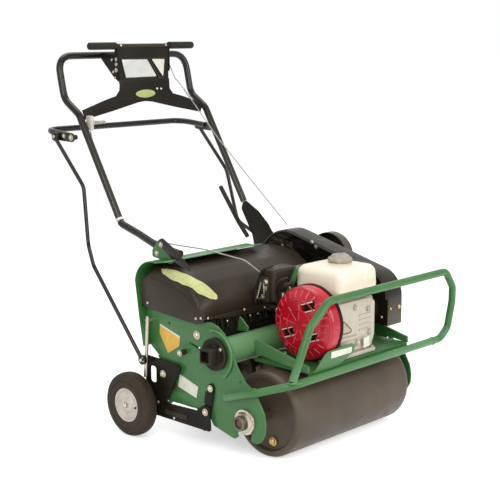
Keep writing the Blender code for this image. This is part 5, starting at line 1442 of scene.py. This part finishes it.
def belt_guard():
    wall = 0.002
    shape = bmesh.new()
    sheet(shape, [guard_outline()], to_x, GUARD_IN + wall + SKIN, GUARD_OUT, 0.0035, 4)
    tray = piece("belt_guard_tray", shape, OLIVE, "frame", ["belt_guard"])
    shape = bmesh.new()
    sheet(shape, [guard_outline(wall)], to_x, GUARD_IN - 0.01, GUARD_OUT - wall, 0.0005, 1)
    cut(tray, shape)
    cut_for_tube(tray)
    shape = bmesh.new()
    port = circle(CRANK_Y, CRANK_Z, 0.038)
    sheet(shape, [guard_outline(SKIN), port, guard_window()], to_x, GUARD_IN, GUARD_IN + wall, 0.0006)
    near = piece("belt_guard_near_skin", shape, OLIVE)
    cut_for_tube(near)


def belt_guard_trim():
    shape = bmesh.new()
    lower_points = 14
    edge = [(GUARD_IN - 0.0012, y, z) for y, z in guard_outline(0.0045)[lower_points:]]
    pipe(shape, edge, 0.0030, 10)
    mouth = [(GUARD_IN - 0.0006, y, z) for y, z in guard_window(0.0015)]
    pipe(shape, [*mouth, mouth[0]], 0.0016, 8)
    piece("belt_guard_rim", shape, OLIVE)
    shape = bmesh.new()
    flap_y = 0.231
    flap = [(0.330, 0.509), (0.301, 0.507), (flap_y, 0.481), (flap_y, 0.464), (0.297, 0.484),
            (0.326, 0.487)]
    sheet(shape, [rounded(flap, 0.004, 3)], to_x, GUARD_IN - 0.0030, GUARD_IN - 0.0010, 0.0006)
    for y in (0.262, 0.300):
        block(shape, (GUARD_IN - 0.0042, y, 0.476 + (y - flap_y) * 0.37),
              (GUARD_IN - 0.0006, y + 0.010, 0.510 + (y - flap_y) * 0.10), 0.0008)
    piece("belt_guard_flap", shape, BLACK)


def belt_guard_bolts():
    shape = bmesh.new()
    for y, z in ((0.1864, 0.5230), (0.1704, 0.5110), (0.305, 0.500)):
        bolt(shape, (GUARD_IN - 0.0002, y, z), (-1, 0, 0), 0.0046)
    for y, z in ((0.020, 0.440), (-0.080, 0.335), (0.180, 0.345)):
        dome(shape, (GUARD_IN, y, z), (-1, 0, 0), 0.0042)
    bolt(shape, (GUARD_OUT, JACK_Y, JACK_Z), (1, 0, 0), 0.0090)
    for y, z in ((0.150, 0.470), (-0.050, 0.420), (-0.050, 0.330)):
        bolt(shape, (GUARD_OUT, y, z), (1, 0, 0), 0.0052)
    fittings("belt_guard_bolts", shape)
    shape = bmesh.new()
    dome(shape, (0.2150, -0.1010, 0.3605), (0, -1, 0), 0.0066)
    dome(shape, (0.1750, -0.1010, 0.3605), (0, -1, 0), 0.0040)
    piece("belt_guard_studs", shape, BRASS)


def shaft_cover():
    face = PLATE_OUT + SKIN
    cover_y, cover_z = 0.262, 0.447
    outer = [(0.0, 0.076), (0.030, 0.076), (0.0365, 0.0730), (0.0395, 0.0665), (0.040, 0.058),
             (0.040, 0.030), (0.0415, 0.027), (0.0415, 0.0)]
    inner = [(0.038, 0.0), (0.038, 0.060), (0.034, 0.070), (0.030, 0.0735), (0.0, 0.0735)]
    shape = bmesh.new()
    ring(shape, [(face + x, radius) for x, radius in outer + inner], (0, cover_y, cover_z), steps=80)
    skin("shaft_cover", shape, OLIVE, angle=40)
    shape = bmesh.new()
    for y, z in circle(cover_y, cover_z, 0.062, 4, 20):
        bolt(shape, (face + 0.0385, y, z), (1, 0, 0), 0.0042)
    fittings("shaft_cover_bolts", shape)


def engine_brackets():
    shape = bmesh.new()
    bracket = [(0.363, 0.464), (0.346, 0.463), (0.271, 0.432), (0.271, 0.410), (0.296, 0.410),
               (0.363, 0.439)]
    sheet(shape, [rounded(bracket, 0.005, 4)], to_x, COVER_FAR + 0.0006, COVER_FAR + 0.0026, 0.0006)
    stay = [(0.040, 0.500), (0.026, 0.497), (0.060, 0.408), (0.066, 0.300), (0.082, 0.300),
            (0.080, 0.410)]
    sheet(shape, [rounded(stay, 0.005, 4)], to_x, -0.0862, -0.0838, 0.0007)
    piece("engine_brackets", shape, GREEN)


def governor():
    """Linkage and spring between the engine and the tine cover."""
    shape = bmesh.new()
    block(shape, (-0.129, 0.100, 0.398), (-0.1225, 0.130, 0.470), 0.003)
    pipe(shape, rounded([(-0.128, 0.150, 0.392), (-0.131, 0.146, 0.436), (-0.126, 0.128, 0.488),
                         (-0.095, 0.112, 0.499)], 0.02, 6, closed=False), 0.0036, 12)
    pipe(shape, rounded([(-0.112, 0.082, 0.396), (-0.124, 0.080, 0.428), (-0.118, 0.074, 0.462),
                         (-0.092, 0.060, 0.470)], 0.015, 6, closed=False), 0.0030, 12)
    block(shape, (-0.098, 0.118, 0.366), (-0.066, 0.150, 0.3935), 0.004)
    block(shape, (-0.094, 0.086, 0.340), (-0.060, 0.112, 0.394), 0.006, 3)
    piece("governor_parts", shape, BLACK)
    shape = bmesh.new()
    coils, coil_points, coil_r = 9, 10, 0.0032
    spring = []
    for i in range(coils * coil_points + 1):
        turn = math.tau * i / coil_points
        spring.append((-0.1345 + coil_r * math.cos(turn),
                       0.140 + coil_r * math.sin(turn) - 0.00018 * i, 0.404 + 0.00056 * i))
    pipe(shape, spring, 0.0007, 6)
    pipe(shape, rounded([(-0.131, 0.136, 0.402), (-0.133, 0.112, 0.420), (-0.131, 0.118, 0.452)], 0.01,
                        5, closed=False), 0.0014, 8)
    for spot, size in (((-0.129, 0.110, 0.456), 0.0058), ((-0.129, 0.122, 0.412), 0.0050),
                       ((-0.094, 0.099, 0.372), 0.0060)):
        bolt(shape, spot, (-1, 0, 0), size)
    dome(shape, (-0.098, 0.144, 0.372), (-1, 0, 0), 0.0034)
    block(shape, (-0.1308, 0.105, 0.430), (-0.1290, 0.116, 0.444), 0.0006)
    fittings("governor_fittings", shape)


def engine_side_label():
    tag = [(0.0933, 0.420), (0.0766, 0.424), (0.0766, 0.378), (0.0930, 0.374)]
    patch("engine_side_label", LABEL, tag, 0.002, to_x, -0.0900, -0.0892)


def labels():
    shape = bmesh.new()
    corners = [(0.254, 0.201), (0.181, 0.179), (0.188, 0.145), (0.262, 0.164)]
    x = -PLATE_OUT
    sheet(shape, [rounded(corners, 0.002, 3)], to_x, x - 0.0005, x - 0.0001, 0.0001, 1)
    band = [(0.3345, 0.334), (0.2530, 0.311), (0.2525, 0.305), (0.3340, 0.328)]
    sheet(shape, [rounded(band, 0.001, 2)], to_x, x - 0.0007, x - 0.0003, 0.0001, 1)
    piece("side_label", shape, LABEL)
    corners = [(0.3350, 0.330), (0.2520, 0.307), (0.2560, 0.282), (0.3020, 0.253), (0.3360, 0.306)]
    patch("side_label_yellow", YELLOW, corners, 0.003, to_x, x - 0.0005, x - 0.0001, 0.0001)


def carried_over():
    """CAD solids that stay: each gets its slot's finish and softened edges."""
    slots = {entry["node"]: entry["material_slot"] for entry in frame["record"]["subparts"]}
    for name, node in frame["nodes"].items():
        if node.hide_render:
            continue
        for material_slot in node.material_slots:
            material_slot.material = SLOTS[slots[name]]
        weld = node.modifiers.new("weld", "WELD")
        weld.merge_threshold = 0.00002
        soft = node.modifiers.new("soft edges", "BEVEL")
        soft.width = 0.0006
        soft.segments = 2
        soft.limit_method = "ANGLE"
        soft.angle_limit = math.radians(40)
        soft.use_clamp_overlap = True
        soft.harden_normals = True


# Stage

def seen_by(tree, *rays):
    """1 where the light path is of one of these kinds of ray, otherwise 0."""
    path = linked(tree, "ShaderNodeLightPath")
    found = path.outputs[rays[0]]
    for ray in rays[1:]:
        more = linked(tree, "ShaderNodeMath", operation="MAXIMUM")
        tree.links.new(found, more.inputs[0])
        tree.links.new(path.outputs[ray], more.inputs[1])
        found = more.outputs[0]
    return found


def stage():
    shape = bmesh.new()
    half = 40.0
    corners = ((-half, -half, 0), (half, -half, 0), (half, half, 0), (-half, half, 0))
    shape.faces.new([shape.verts.new(corner) for corner in corners])
    data = bpy.data.meshes.new("floor")
    shape.to_mesh(data)
    shape.free()
    floor = bpy.data.objects.new("floor", data)
    bpy.context.scene.collection.objects.link(floor)
    paper = bpy.data.materials.new("paper floor")
    paper.use_nodes = True
    tree = paper.node_tree
    shader = tree.nodes["Principled BSDF"]
    shader.inputs["Base Color"].default_value = (0.86, 0.86, 0.86, 1)
    shader.inputs["Roughness"].default_value = 0.9
    shader.inputs["Specular IOR Level"].default_value = 0.0
    lift = linked(tree, "ShaderNodeMath", operation="MULTIPLY")
    tree.links.new(seen_by(tree, "Is Camera Ray", "Is Glossy Ray"), lift.inputs[0])
    lift.inputs[1].default_value = 0.50
    glow = linked(tree, "ShaderNodeEmission")
    tree.links.new(lift.outputs[0], glow.inputs["Strength"])
    total = linked(tree, "ShaderNodeAddShader")
    tree.links.new(shader.outputs[0], total.inputs[0])
    tree.links.new(glow.outputs[0], total.inputs[1])
    tree.links.new(total.outputs[0], tree.nodes["Material Output"].inputs["Surface"])
    data.materials.append(paper)


def sky():
    world = bpy.data.worlds.new("studio")
    bpy.context.scene.world = world
    world.use_nodes = True
    tree = world.node_tree
    light = tree.nodes["Background"]
    light.inputs["Color"].default_value = (1, 1, 1, 1)
    light.inputs["Strength"].default_value = 0.62
    white = linked(tree, "ShaderNodeBackground")
    white.inputs["Color"].default_value = (1, 1, 1, 1)
    white.inputs["Strength"].default_value = 1.0
    mix = linked(tree, "ShaderNodeMixShader")
    white_for = seen_by(tree, "Is Camera Ray", "Is Glossy Ray", "Is Transmission Ray")
    tree.links.new(white_for, mix.inputs[0])
    tree.links.new(light.outputs[0], mix.inputs[1])
    tree.links.new(white.outputs[0], mix.inputs[2])
    tree.links.new(mix.outputs[0], tree.nodes["World Output"].inputs["Surface"])


def lamp(name, place, target, size, power):
    data = bpy.data.lights.new(name, "AREA")
    data.shape = "DISK"
    data.size = size
    data.energy = power
    item = bpy.data.objects.new(name, data)
    bpy.context.scene.collection.objects.link(item)
    item.location = place
    item.rotation_mode = "QUATERNION"
    item.rotation_quaternion = (Vector(target) - Vector(place)).to_track_quat("-Z", "Y")


def camera():
    azimuth, pitch = math.radians(-46.65), math.radians(10.477)
    away = Vector((math.sin(azimuth) * math.cos(pitch), -math.cos(azimuth) * math.cos(pitch),
                   math.sin(pitch)))
    data = bpy.data.cameras.new("camera")
    data.lens = 85.84
    data.sensor_width = 36.0
    item = bpy.data.objects.new("camera", data)
    bpy.context.scene.collection.objects.link(item)
    item.location = ORIGIN + Vector((-2.5440, -2.1086, 1.1538))
    item.rotation_mode = "QUATERNION"
    item.rotation_quaternion = (-away).to_track_quat("-Z", "Y")
    bpy.context.scene.camera = item


camera()
sky()
stage()
middle = (0.0, 0.0, 0.4)
lamp("key light", (-3.2, -2.2, 2.6), middle, 2.4, 92)
lamp("front light", (0.8, -3.6, 1.8), middle, 2.4, 72)
lamp("top light", (0.5, 0.8, 3.6), middle, 2.6, 50)

FRAME_PARTS = (side_plates, cross_tube, hub_carrier, side_details, deck, rails, rear_panel,
               tine_cover, cover_skirt, cover_comb, cover_bolts, hood_patches)
RUNNING_PARTS = (drum, drain_plug, drum_bearings, wheels, bail, rods)
HANDLE_PARTS = (handle, far_gusset, handle_ring, wing_panel, control_panel, control_panes,
                panel_screws, drive_bar, drive_grips, drive_bolts, throttle, cables)
ENGINE_PARTS = (recoil, recoil_ribs, recoil_windows, recoil_bolts, crankcase, crankcase_details,
                cylinder, tank, fuel_cap, air_cleaner, muffler, choke_lever, starter_grip)
GUARD_PARTS = (belt_guard, belt_guard_trim, belt_guard_bolts, shaft_cover)
for make in (*FRAME_PARTS, *RUNNING_PARTS, *HANDLE_PARTS, *ENGINE_PARTS, *GUARD_PARTS,
             engine_brackets, governor, engine_side_label, labels, carried_over):
    make()

bpy.context.scene.view_settings.view_transform = "Standard"
